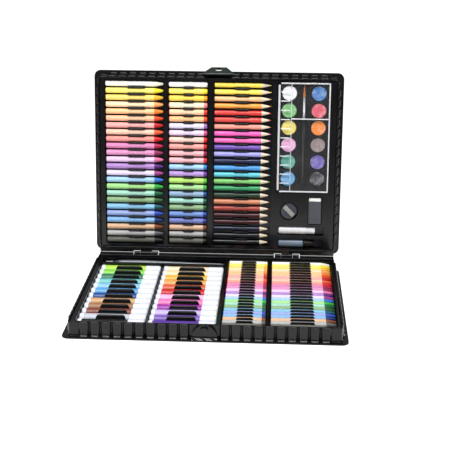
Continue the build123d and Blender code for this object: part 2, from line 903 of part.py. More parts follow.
def all_nodes():
    """Every named piece or group of like pieces."""
    lid_rows = rows(lid_stick_first_v, lid_stick_pitch, stick_rows)
    tray_rows = rows(tray_stick_first_y, tray_stick_pitch, stick_rows)
    left_plugs, left_barrels, left_caps = marker_pieces(left_marker_x)
    right_plugs, right_barrels, right_caps = marker_pieces(right_marker_x)
    long_bristles, long_ferrule, long_handle = long_brush()
    small_handle, small_ferrule, small_bristles = palette_brush()
    sharpener_body, sharpener_blade, sharpener_screw = sharpener()
    eraser_block, eraser_sleeve = eraser()
    white_body, white_cap = tube(white_tube_v, white_body_length, white_cap_length, white_cap_radius)
    grey_body, grey_cap = tube(grey_tube_v, grey_body_length, grey_cap_length, grey_cap_radius)
    return {
        "tray_shell": tray_shell(),
        "tray_insert": tray_insert(),
        "latch_knob": latch_knob(),
        "hinge_pins": hinge_pins(),
        "lid_shell": lid_shell(),
        "lid_insert": lid_insert(),
        "latch_clasp": latch_clasp(),
        "clasp_pin": clasp_pin(),
        "lid_crayons": placed_in_lid(crayons(lid_crayon_x, lid_rows)),
        "lid_pastels": placed_in_lid(pastels(lid_pastel_x, lid_rows)),
        "lid_pencils": placed_in_lid(pencils(lid_pencil_x, lid_rows)),
        "palette_base": palette_base(),
        "palette_cover": palette_cover(),
        "paint_cakes_left": paint_cakes(-1),
        "paint_cakes_right": paint_cakes(1),
        "palette_brush_handle": small_handle,
        "palette_brush_ferrule": small_ferrule,
        "palette_brush_bristles": small_bristles,
        "sharpener_body": sharpener_body,
        "sharpener_blade": sharpener_blade,
        "sharpener_screw": sharpener_screw,
        "eraser_block": eraser_block,
        "eraser_sleeve": eraser_sleeve,
        "white_tube_body": white_body,
        "white_tube_cap": white_cap,
        "grey_tube_body": grey_body,
        "grey_tube_cap": grey_cap,
        "left_marker_plugs": left_plugs,
        "left_marker_barrels": left_barrels,
        "left_marker_caps": left_caps,
        "right_marker_plugs": right_plugs,
        "right_marker_barrels": right_barrels,
        "right_marker_caps": right_caps,
        "tray_pastels": pastels(tray_pastel_x, tray_rows),
        "tray_crayons": crayons(tray_crayon_x, tray_rows),
        "long_brush_bristles": long_bristles,
        "long_brush_ferrule": long_ferrule,
        "long_brush_handle": long_handle,
    }


os.makedirs("parts", exist_ok=True)
for node, shape in all_nodes().items():
    solids = [shape] if not isinstance(shape, list) else shape
    whole = solids[0] if len(solids) == 1 else Compound(solids)
    export_step(whole, f"parts/{node}.step")
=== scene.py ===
"""Drawing and painting art set, dressed for a product photograph.

Sizes are in millimetres of the row frame: X along the hinge, Y to the back, Z up, origin in the
middle of the tray's underside. A place in the lid is (x, v, w), with v up from the hinge line and
w from the lid's outer face to its rim. Meshes are written in metres.
"""

import json
import logging
import math
from dataclasses import dataclass
from enum import Enum
from typing import Any, Callable, Iterable, Protocol, Sequence

import bpy
import numpy as np
from mathutils import Matrix, Vector

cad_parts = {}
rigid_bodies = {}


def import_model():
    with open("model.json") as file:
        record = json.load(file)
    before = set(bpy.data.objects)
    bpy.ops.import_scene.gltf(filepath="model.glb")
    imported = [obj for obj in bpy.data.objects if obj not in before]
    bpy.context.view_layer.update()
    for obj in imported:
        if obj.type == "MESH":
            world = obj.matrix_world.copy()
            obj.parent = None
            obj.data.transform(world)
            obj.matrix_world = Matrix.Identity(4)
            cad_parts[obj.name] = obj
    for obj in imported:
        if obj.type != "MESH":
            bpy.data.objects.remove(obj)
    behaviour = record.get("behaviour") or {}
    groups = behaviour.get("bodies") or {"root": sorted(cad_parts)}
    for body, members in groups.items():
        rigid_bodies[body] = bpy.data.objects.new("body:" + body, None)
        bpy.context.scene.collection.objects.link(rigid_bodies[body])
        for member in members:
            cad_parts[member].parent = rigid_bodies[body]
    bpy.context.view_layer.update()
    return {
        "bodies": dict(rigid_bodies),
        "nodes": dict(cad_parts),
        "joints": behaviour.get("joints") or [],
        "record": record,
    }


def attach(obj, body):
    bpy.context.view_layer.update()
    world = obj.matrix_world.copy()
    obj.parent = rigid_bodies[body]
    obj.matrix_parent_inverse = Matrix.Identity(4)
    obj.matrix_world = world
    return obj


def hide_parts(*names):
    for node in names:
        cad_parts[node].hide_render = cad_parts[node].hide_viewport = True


log = logging.getLogger("art_set")
MM = 0.001
Place = Callable[[np.ndarray], np.ndarray]
Surface = tuple[np.ndarray, list[np.ndarray]]
Colour = tuple[float, float, float]
Profile = Sequence[tuple[float, float]]


def tint(code: str) -> Colour:
    """Linear colour from six hexadecimal digits."""
    parts = np.array([int(code[at : at + 2], 16) for at in (0, 2, 4)]) / 255
    linear = np.where(parts <= 0.04045, parts / 12.92, ((parts + 0.055) / 1.055) ** 2.4)
    return tuple(float(part) for part in linear)


def tints(codes: str) -> tuple[Colour, ...]:
    """Linear colours from codes parted by spaces."""
    return tuple(tint(code) for code in codes.split())


class Zone(Enum):
    """Parts of a piece that one finish paints in different ways."""

    BODY = 0.0
    END = 1.0
    CORE = 2.0


Stretch = tuple[Zone, tuple[tuple[float, float], ...]]


# Surfaces


def grid(points: np.ndarray, closed: bool = False) -> Surface:
    """Quads between neighbours of a grid of points.

    Args:
        points: Rows by columns by 3. Faces look along (row step) x (column step).
        closed: Whether the last column joins the first.

    Returns:
        The points in one list, with the quads.
    """
    rows, columns = points.shape[:2]
    index = np.arange(rows * columns).reshape(rows, columns)
    if closed:
        index = np.hstack([index, index[:, :1]])
    quads = np.stack([index[:-1, :-1], index[1:, :-1], index[1:, 1:], index[:-1, 1:]], axis=-1)
    return points.reshape(-1, 3), [quads.reshape(-1, 4)]


def turned(
    profile: Profile,
    start: Sequence[float],
    sides: int = 24,
    caps: tuple[bool, bool] = (True, True),
    wave: Callable[[np.ndarray], np.ndarray] | None = None,
) -> Surface:
    """Turned piece along +X.

    P(i, j) = start + (d_i, r_i sin a_j, r_i cos a_j), with a_j even steps of a full turn.

    Args:
        profile: Distances along X with their radii.
        start: Place of distance 0.
        sides: Steps round the axis.
        caps: Whether the first and the last ring are closed by a face.
        wave: Factor on the radius for each angle, such as knurls.

    Returns:
        The surface.
    """
    distance, radius = np.array(profile, float).T
    angle = np.arange(sides) * 2 * math.pi / sides
    factor = np.ones(sides) if wave is None else wave(angle)
    points = np.empty((len(distance), sides, 3))
    points[..., 0] = start[0] + distance[:, None]
    points[..., 1] = start[1] + radius[:, None] * np.sin(angle) * factor
    points[..., 2] = start[2] + radius[:, None] * np.cos(angle) * factor
    flat_points, faces = grid(points, closed=True)
    ring = np.arange(sides)
    if caps[0]:
        faces.append(ring[None, :])
    if caps[1]:
        faces.append((ring + (len(distance) - 1) * sides)[::-1][None, :])
    return flat_points, faces


def upright(profile: Profile, centre: Sequence[float], sides: int = 48, **options: Any) -> Surface:
    """Turned piece along the third axis: (x, y, z) of turned() becomes (z, -y, x).

    Args:
        profile: Heights with their radii.
        centre: Place of height 0.
        sides: Steps round the axis.
        options: Further arguments of turned().

    Returns:
        The surface.
    """
    points, faces = turned(profile, (0.0, 0.0, 0.0), sides, **options)
    placed = points[:, [2, 1, 0]] * (1.0, -1.0, 1.0) + np.asarray(centre, float)
    return placed, faces


def extruded(outline: np.ndarray, low: float, high: float, axis: int = 0) -> Surface:
    """Prism between two planes square to an axis.

    Args:
        outline: Points that run anticlockwise seen from +axis.
        low: Place of the first plane.
        high: Place of the second plane.
        axis: Number of the axis.

    Returns:
        The closed surface.
    """
    count = len(outline)
    others = [(axis + 1) % 3, (axis + 2) % 3]
    points = np.empty((2, count, 3))
    points[..., others] = outline
    points[0, :, axis] = low
    points[1, :, axis] = high
    flat_points, faces = grid(points, closed=True)
    sides = [face[:, ::-1] for face in faces]
    ring = np.arange(count)
    return flat_points, [*sides, ring[::-1][None, :], (ring + count)[None, :]]


def rounded_box(low: Sequence[float], high: Sequence[float], radius: float, steps: int = 3) -> Surface:
    """Box with rounded edges, as a sphere whose points are pushed out to the inner box's corners.

    P = centre + sign(n) (half - radius) + radius n, with n over a sphere whose rows and columns are
    doubled where a sign changes.

    Args:
        low: Lower corner.
        high: Upper corner.
        radius: Radius of the edges.
        steps: Steps along each quarter turn.

    Returns:
        The closed surface.
    """
    low_corner, high_corner = np.asarray(low, float), np.asarray(high, float)
    centre, half = (low_corner + high_corner) / 2, (high_corner - low_corner) / 2
    quarter = np.linspace(0, math.pi / 2, steps + 1)
    around = np.concatenate([quarter + turn * math.pi / 2 for turn in range(4)])
    signs = np.repeat([[1, 1], [-1, 1], [-1, -1], [1, -1]], steps + 1, axis=0)
    rise = np.concatenate([quarter - math.pi / 2, quarter])
    rise_sign = np.repeat([-1.0, 1.0], steps + 1)
    normal = np.empty((len(rise), len(around), 3))
    normal[..., 0] = np.cos(rise)[:, None] * np.cos(around)
    normal[..., 1] = np.cos(rise)[:, None] * np.sin(around)
    normal[..., 2] = np.sin(rise)[:, None]
    outward = np.empty_like(normal)
    outward[..., :2] = signs
    outward[..., 2] = rise_sign[:, None]
    points = centre + outward * (half - radius) + radius * normal
    flat_points, faces = grid(points, closed=True)
    faces = [face[:, ::-1] for face in faces]
    ring = np.arange(len(around))
    last = ring + (len(rise) - 1) * len(around)
    return flat_points, [*faces, ring[::-1][None, :], last[None, :]]


def arc(centre: Sequence[float], radius: float, start: float, end: float, steps: int) -> np.ndarray:
    """Points on an arc, with its angles in degrees."""
    angle = np.radians(np.linspace(start, end, steps))
    return np.stack([centre[0] + radius * np.cos(angle), centre[1] + radius * np.sin(angle)], axis=1)


def smooth(value: np.ndarray) -> np.ndarray:
    """Share from 0 to 1 with a soft start and end: 3t^2 - 2t^3."""
    share = np.clip(value, 0, 1)
    return share * share * (3 - 2 * share)


def knurls(depth: float, teeth: int, power: float) -> Callable[[np.ndarray], np.ndarray]:
    """Grip ridges round a turned piece: 1 - depth smooth(|sin(teeth a)|^power).

    Args:
        depth: Share of the radius that the grooves take.
        teeth: Half the number of grooves.
        power: Flatness of the grooves' floors; less is flatter.

    Returns:
        The factor on the radius for each angle.
    """

    def factor(angle: np.ndarray) -> np.ndarray:
        """Factor at each angle."""
        return 1 - depth * smooth(np.abs(np.sin(angle * teeth)) ** power)

    return factor


class Shape:
    """Surfaces gathered for one piece, with a tint, a second tint and a zone for each point."""

    def __init__(self, place: Place | None = None) -> None:
        """Starts empty.

        Args:
            place: Where the piece's own frame lies in the row frame.
        """
        self.place = place
        self.points: list[np.ndarray] = []
        self.faces: list[np.ndarray] = []
        self.layers: dict[str, list[np.ndarray]] = {"tint": [], "second": [], "zone": []}
        self.count = 0

    def add(
        self,
        surface: Surface,
        colour: Sequence[float] = (1.0, 1.0, 1.0),
        second: Sequence[float] = (1.0, 1.0, 1.0),
        zone: Zone = Zone.BODY,
    ) -> "Shape":
        """Adds a surface.

        Args:
            surface: Its points and faces.
            colour: Colour of its painted part.
            second: Colour of its bare part.
            zone: How the finish paints it.

        Returns:
            This shape.
        """
        points, faces = surface
        self.points.append(points if self.place is None else self.place(points))
        self.faces.extend(np.asarray(face) + self.count for face in faces)
        self.layers["tint"].append(np.tile((*colour, 1.0), (len(points), 1)))
        self.layers["second"].append(np.tile((*second, 1.0), (len(points), 1)))
        self.layers["zone"].append(np.full(len(points), zone.value))
        self.count += len(points)
        return self

    def mesh(self, name: str, crease: float) -> bpy.types.Mesh:
        """Blender mesh in metres.

        Args:
            name: The mesh's name.
            crease: Angle in degrees over which an edge stays sharp.

        Returns:
            The mesh.
        """
        points = np.concatenate(self.points) * MM
        corners = np.concatenate([face.ravel() for face in self.faces])
        sizes = np.concatenate([np.full(len(face), face.shape[1]) for face in self.faces])
        starts = np.concatenate([[0], np.cumsum(sizes)[:-1]])
        mesh = bpy.data.meshes.new(name)
        mesh.vertices.add(len(points))
        mesh.vertices.foreach_set("co", points.astype(np.float32).ravel())
        mesh.loops.add(len(corners))
        mesh.loops.foreach_set("vertex_index", corners.astype(np.int32))
        mesh.polygons.add(len(sizes))
        mesh.polygons.foreach_set("loop_start", starts.astype(np.int32))
        mesh.update(calc_edges=True)
        for layer, kind, field_name in (
            ("tint", "FLOAT_COLOR", "color"),
            ("second", "FLOAT_COLOR", "color"),
            ("zone", "FLOAT", "value"),
        ):
            attribute = mesh.attributes.new(layer, kind, "POINT")
            values = np.concatenate(self.layers[layer]).astype(np.float32).ravel()
            attribute.data.foreach_set(field_name, values)
        mesh.shade_smooth()
        mesh.set_sharp_from_angle(angle=math.radians(crease))
        return mesh


class Look(Protocol):
    """Recipe of one material."""

    def build(self) -> bpy.types.Material:
        """Makes the material."""


@dataclass(frozen=True)
class Finish:
    """Material with the record's slot that it fills."""

    material: bpy.types.Material
    slot: str

    @classmethod
    def of(cls, slot: str, look: Look) -> "Finish":
        """Makes the look's material for a slot."""
        return cls(look.build(), slot)


class Builder:
    """Turns shapes into pieces that ride on the CAD bodies."""

    def piece(
        self,
        name: str,
        shape: Shape,
        body: str,
        finish: Finish,
        *stands_for: str,
        bevel: float = 0.0,
        crease: float = 38.0,
    ) -> bpy.types.Object:
        """Adds one piece to the scene.

        Args:
            name: The piece's name.
            shape: Its surfaces.
            body: CAD body that carries it.
            finish: Its material and slot.
            stands_for: CAD nodes that it replaces.
            bevel: Width of a bevel on its sharp edges, or 0 for none.
            crease: Angle in degrees over which an edge stays sharp.

        Returns:
            The piece.
        """
        piece = bpy.data.objects.new(name, shape.mesh(name, crease))
        bpy.context.scene.collection.objects.link(piece)
        piece.data.materials.append(finish.material)
        if bevel:
            modifier = piece.modifiers.new("edges", "BEVEL")
            modifier.width = bevel * MM
            modifier.segments = 2
            modifier.limit_method = "ANGLE"
            modifier.angle_limit = math.radians(crease)
        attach(piece, body)
        if stands_for:
            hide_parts(*stands_for)
        log.info("%s: %d points on %s", name, shape.count, body)
        return piece


@dataclass(frozen=True)
class Hinge:
    """Hinge line and the stations along it, each an inner arm of the lid between two of the tray."""

    stations: tuple[float, float] = (-112.0, 112.0)
    line_y: float = 144.0
    line_z: float = 22.65
    inner: float = 9.0
    gap: float = 0.3
    outer: float = 10.0

    @property
    def reach(self) -> float:
        """Half the length of a station."""
        return self.inner + self.gap + self.outer


HINGE = Hinge()


@dataclass(frozen=True)
class LidFrame:
    """Place of the lid's own frame in the row frame, from its hinge."""

    pivot: tuple[float, float]
    angle: float
    seam: float = HINGE.line_z

    @classmethod
    def from_joints(cls, joints: Sequence[dict[str, Any]]) -> "LidFrame":
        """Reads the hinge line and the opening angle.

        Args:
            joints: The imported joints.

        Returns:
            The frame.
        """
        hinge = next(joint for joint in joints if joint["name"] == "lid_hinge")
        travel = -min(hinge["range_deg"]) if "range_deg" in hinge else math.degrees(-min(hinge["range"]))
        return cls((hinge["pos_m"][1] / MM, hinge["pos_m"][2] / MM), travel)

    def __call__(self, points: np.ndarray) -> np.ndarray:
        """Row-frame places of points (x, v, w)."""
        turn = math.radians(self.angle)
        rise = points[..., 1]
        depth = points[..., 2] - self.seam
        placed = np.empty_like(points, dtype=float)
        placed[..., 0] = points[..., 0]
        placed[..., 1] = self.pivot[0] - math.cos(turn) * rise - math.sin(turn) * depth
        placed[..., 2] = self.pivot[1] + math.sin(turn) * rise - math.cos(turn) * depth
        return placed


# Shader building


class Value:
    """A shader socket that takes part in arithmetic; each operation adds a Math node."""

    def __init__(self, paint: "Paint", socket: bpy.types.NodeSocket) -> None:
        """Wraps a socket of a paint's node tree."""
        self.paint = paint
        self.socket = socket

    def _join(self, operation: str, left: "Value | float", right: "Value | float") -> "Value":
        """Math node on two operands."""
        node = self.paint.node("ShaderNodeMath", {"operation": operation}, {0: left, 1: right})
        return Value(self.paint, node.outputs[0])

    def __add__(self, other: "Value | float") -> "Value":
        """Sum."""
        return self._join("ADD", self, other)

    def __rsub__(self, other: float) -> "Value":
        """Difference from a number."""
        return self._join("SUBTRACT", other, self)

    def __mul__(self, other: "Value | float") -> "Value":
        """Product."""
        return self._join("MULTIPLY", self, other)

    def __gt__(self, other: "Value | float") -> "Value":
        """1 where greater, else 0."""
        return self._join("GREATER_THAN", self, other)

    def between(self, low: float, high: float) -> "Value":
        """Soft share from 0 at low to 1 at high."""
        settings = {"interpolation_type": "SMOOTHSTEP"}
        inputs = {"Value": self, "From Min": low, "From Max": high}
        node = self.paint.node("ShaderNodeMapRange", settings, inputs)
        return Value(self.paint, node.outputs["Result"])


class Paint:
    """A material being built round one Principled shader."""

    def __init__(self, name: str, **constants: Any) -> None:
        """Starts the material.

        Args:
            name: Its name.
            constants: Socket values, with underscores for spaces in the sockets' names.
        """
        self.material = bpy.data.materials.new(name)
        self.material.use_nodes = True
        self.tree = self.material.node_tree
        self.shader = next(node for node in self.tree.nodes if node.type == "BSDF_PRINCIPLED")
        for key, value in constants.items():
            self.shader.inputs[key.replace("_", " ")].default_value = value

    def node(self, kind: str, settings: dict[str, Any], inputs: dict[Any, Any]) -> bpy.types.Node:
        """Adds a node of one type with its settings and inputs."""
        made = self.tree.nodes.new(kind)
        for key, value in settings.items():
            setattr(made, key, value)
        for key, value in inputs.items():
            if isinstance(value, Value):
                self.tree.links.new(value.socket, made.inputs[key])
            else:
                made.inputs[key].default_value = value
        return made

    def set(self, name: str, value: Value) -> "Paint":
        """Feeds one input of the shader."""
        self.tree.links.new(value.socket, self.shader.inputs[name])
        return self

    def place(self, scale: Sequence[float] = (1.0, 1.0, 1.0)) -> Value:
        """Object coordinates, stretched."""
        source = self.node("ShaderNodeTexCoord", {}, {})
        vector = Value(self, source.outputs["Object"])
        mapped = self.node("ShaderNodeMapping", {}, {"Vector": vector, "Scale": tuple(scale)})
        return Value(self, mapped.outputs["Vector"])

    def noise(self, scale: float, detail: float = 3.0, stretch: Sequence[float] = (1.0, 1.0, 1.0)) -> Value:
        """Noise from 0 to 1 at a scale per metre."""
        inputs = {"Vector": self.place(stretch), "Scale": scale, "Detail": detail}
        return Value(self, self.node("ShaderNodeTexNoise", {}, inputs).outputs["Fac"])

    def layer(self, name: str, colour: bool = True) -> Value:
        """A colour or number painted on the mesh."""
        made = self.node("ShaderNodeAttribute", {"attribute_name": name}, {})
        return Value(self, made.outputs["Color" if colour else "Fac"])

    def mix(self, share: Value | float, first: Any, second: Any, blend: str = "MIX") -> Value:
        """Two colours mixed."""
        settings = {"data_type": "RGBA", "blend_type": blend}
        inputs = {0: share, 6: first, 7: second}
        return Value(self, self.node("ShaderNodeMix", settings, inputs).outputs[2])

    def bump(self, height: Value, strength: float, distance: float = 0.0003) -> "Paint":
        """Relief in the surface normal."""
        inputs = {"Height": height, "Strength": strength, "Distance": distance}
        relief = self.node("ShaderNodeBump", {}, inputs)
        return self.set("Normal", Value(self, relief.outputs["Normal"]))


def rgba(colour: Sequence[float], share: float = 1.0) -> tuple[float, float, float, float]:
    """Colour scaled by a share, with full alpha."""
    return (colour[0] * share, colour[1] * share, colour[2] * share, 1.0)


@dataclass(frozen=True)
class Moulded:
    """Moulded or formed plastic: a faint orange-peel ripple, fine scratches and hazy patches."""

    name: str
    colour: Colour
    roughness: float = 0.2
    specular: float = 0.4
    peel: float = 0.08
    scuffs: float = 0.25
    coat: float = 0.0

    def build(self) -> bpy.types.Material:
        """Makes the material."""
        paint = Paint(self.name, Specular_IOR_Level=self.specular, Coat_Weight=self.coat, Coat_Roughness=0.06)
        haze = paint.noise(18.0, 4.0).between(0.42, 0.72)
        scratch = paint.noise(60.0, 6.0, (1.0, 14.0, 14.0)).between(0.58, 0.68)
        wear = haze * self.scuffs * 0.35 + scratch * self.scuffs * 0.25
        paint.set("Roughness", wear + self.roughness)
        lighter = rgba([part * 1.25 + 0.004 for part in self.colour])
        paint.set("Base Color", paint.mix(haze, rgba(self.colour), lighter))
        paint.bump(paint.noise(420.0, 2.0) + paint.noise(60.0, 1.0) * 2.0, self.peel)
        return paint.material


@dataclass(frozen=True)
class Tinted:
    """Smooth coloured plastic whose tint is painted on the mesh, with faint darker patches at random."""

    name: str
    roughness: float = 0.25
    specular: float = 0.5

    def build(self) -> bpy.types.Material:
        """Makes the material."""
        paint = Paint(self.name, Specular_IOR_Level=self.specular)
        patch = paint.noise(55.0, 4.0)
        shade = paint.mix(patch.between(0.35, 0.8), rgba((0.93, 0.93, 0.93)), rgba((1.0, 1.0, 1.0)))
        paint.set("Base Color", paint.mix(1.0, paint.layer("tint"), shade, "MULTIPLY"))
        paint.set("Roughness", patch * 0.12 + self.roughness)
        paint.bump(paint.noise(500.0, 2.0), 0.06)
        return paint.material


@dataclass(frozen=True)
class WrappedWax:
    """Paper sleeve with fibres and fine band lines in the first zone, bare waxy colour in the other."""

    name: str
    paper_roughness: float = 0.55
    wax_roughness: float = 0.38

    def build(self) -> bpy.types.Material:
        """Makes the material."""
        paint = Paint(self.name, Specular_IOR_Level=0.35)
        bare = paint.layer("zone", colour=False) > 0.5
        fibre = paint.noise(900.0, 5.0, (0.3, 1.0, 1.0))
        blotch = paint.noise(140.0, 3.0)
        paper = paint.mix(
            fibre.between(0.35, 0.7) * 0.5, paint.layer("tint"), rgba((1.0, 1.0, 1.0)), "SOFT_LIGHT"
        )
        dull = rgba((0.86, 0.85, 0.85))
        wax = paint.mix(blotch.between(0.45, 0.75) * 0.6, paint.layer("second"), dull, "MULTIPLY")
        paint.set("Base Color", paint.mix(bare, paper, wax))
        paint.set("Roughness", bare * (self.wax_roughness - self.paper_roughness) + self.paper_roughness)
        paint.bump(fibre * (1 - bare) + blotch * 1.5, 0.12)
        return paint.material


@dataclass(frozen=True)
class Lacquered:
    """Pencil: lacquer in the tint, then bare wood with grain along the pencil, then the coloured core."""

    name: str
    wood: Colour = (0.86, 0.74, 0.57)

    def build(self) -> bpy.types.Material:
        """Makes the material."""
        paint = Paint(self.name, Specular_IOR_Level=0.5)
        zone = paint.layer("zone", colour=False)
        bare = zone > 0.5
        core = zone > 1.5
        grain = paint.noise(700.0, 4.0, (0.12, 1.0, 1.0))
        wood = paint.mix(grain.between(0.3, 0.75), rgba(self.wood), rgba(self.wood, 0.72))
        tip = paint.mix(core, wood, paint.layer("second"))
        paint.set("Base Color", paint.mix(bare, paint.layer("tint"), tip))
        paint.set("Roughness", bare * 0.4 + paint.noise(80.0) * 0.1 + 0.07)
        paint.bump(grain * bare * 2.0 + paint.noise(300.0) * 0.4, 0.1)
        return paint.material


@dataclass(frozen=True)
class DryPaint:
    """Pressed paint cake: chalky, with grains and faint cracks."""

    name: str

    def build(self) -> bpy.types.Material:
        """Makes the material."""
        paint = Paint(self.name, Roughness=0.82, Specular_IOR_Level=0.2)
        grain = paint.noise(1400.0, 6.0)
        cloud = paint.noise(160.0, 4.0)
        chalk = paint.mix(cloud.between(0.4, 0.8) * 0.25, paint.layer("tint"), rgba((1.0, 1.0, 1.0)))
        paint.set("Base Color", chalk)
        paint.bump(grain + cloud * 2.0, 0.3)
        return paint.material


@dataclass(frozen=True)
class Metal:
    """Rolled or ground metal with fine lines across the piece."""

    name: str
    colour: Colour = (0.72, 0.73, 0.75)
    roughness: float = 0.22
    lines: tuple[float, float, float] = (20.0, 1.0, 1.0)

    def build(self) -> bpy.types.Material:
        """Makes the material."""
        paint = Paint(self.name, Metallic=1.0)
        line = paint.noise(120.0, 4.0, self.lines)
        paint.set("Base Color", paint.mix(line, rgba(self.colour, 0.85), rgba(self.colour)))
        paint.set("Roughness", line * 0.18 + self.roughness)
        paint.bump(line, 0.08, 0.0001)
        return paint.material


@dataclass(frozen=True)
class Hair:
    """Bristles streaked lighter and darker along their length."""

    name: str
    colour: Colour

    def build(self) -> bpy.types.Material:
        """Makes the material."""
        paint = Paint(self.name, Roughness=0.45, Specular_IOR_Level=0.4)
        streak = paint.noise(2500.0, 3.0, (0.08, 1.0, 0.08))
        paint.set("Base Color", paint.mix(streak, rgba(self.colour, 0.6), rgba(self.colour, 1.25)))
        return paint.material


@dataclass(frozen=True)
class Clear:
    """Clear moulded plastic: nearly unseen on the flat, with ribs and edges made whiter and more opaque as a
    painted highlight for the light they catch.
    """

    name: str
    colour: Colour = (0.8, 0.82, 0.85)
    flat_alpha: float = 0.012
    rib_highlight_alpha: float = 0.36

    def build(self) -> bpy.types.Material:
        """Makes the material."""
        paint = Paint(self.name, Specular_IOR_Level=0.5)
        rib = paint.layer("zone", colour=False)
        smear = paint.noise(45.0, 4.0).between(0.5, 0.8)
        paint.set("Base Color", paint.mix(smear, rgba(self.colour), rgba((1.0, 1.0, 1.0))))
        # Painted highlight: the rib zone raises the alpha of the whitish colour, so ribs and edges show as
        # bright lines.
        paint.set("Alpha", rib * self.rib_highlight_alpha + smear * 0.008 + self.flat_alpha)
        paint.set("Roughness", smear * 0.2 + 0.06)
        return paint.material


@dataclass(frozen=True)
class Soft:
    """Matt rubber or coated card with a fine grain and handling marks."""

    name: str
    colour: Colour
    roughness: float = 0.6
    grain: float = 0.2

    def build(self) -> bpy.types.Material:
        """Makes the material."""
        paint = Paint(self.name, Specular_IOR_Level=0.3)
        mark = paint.noise(120.0, 5.0).between(0.45, 0.8)
        paint.set("Base Color", paint.mix(mark, rgba(self.colour), rgba(self.colour, 0.86)))
        paint.set("Roughness", mark * 0.15 + self.roughness)
        paint.bump(paint.noise(1100.0, 4.0), self.grain)
        return paint.material


# Case


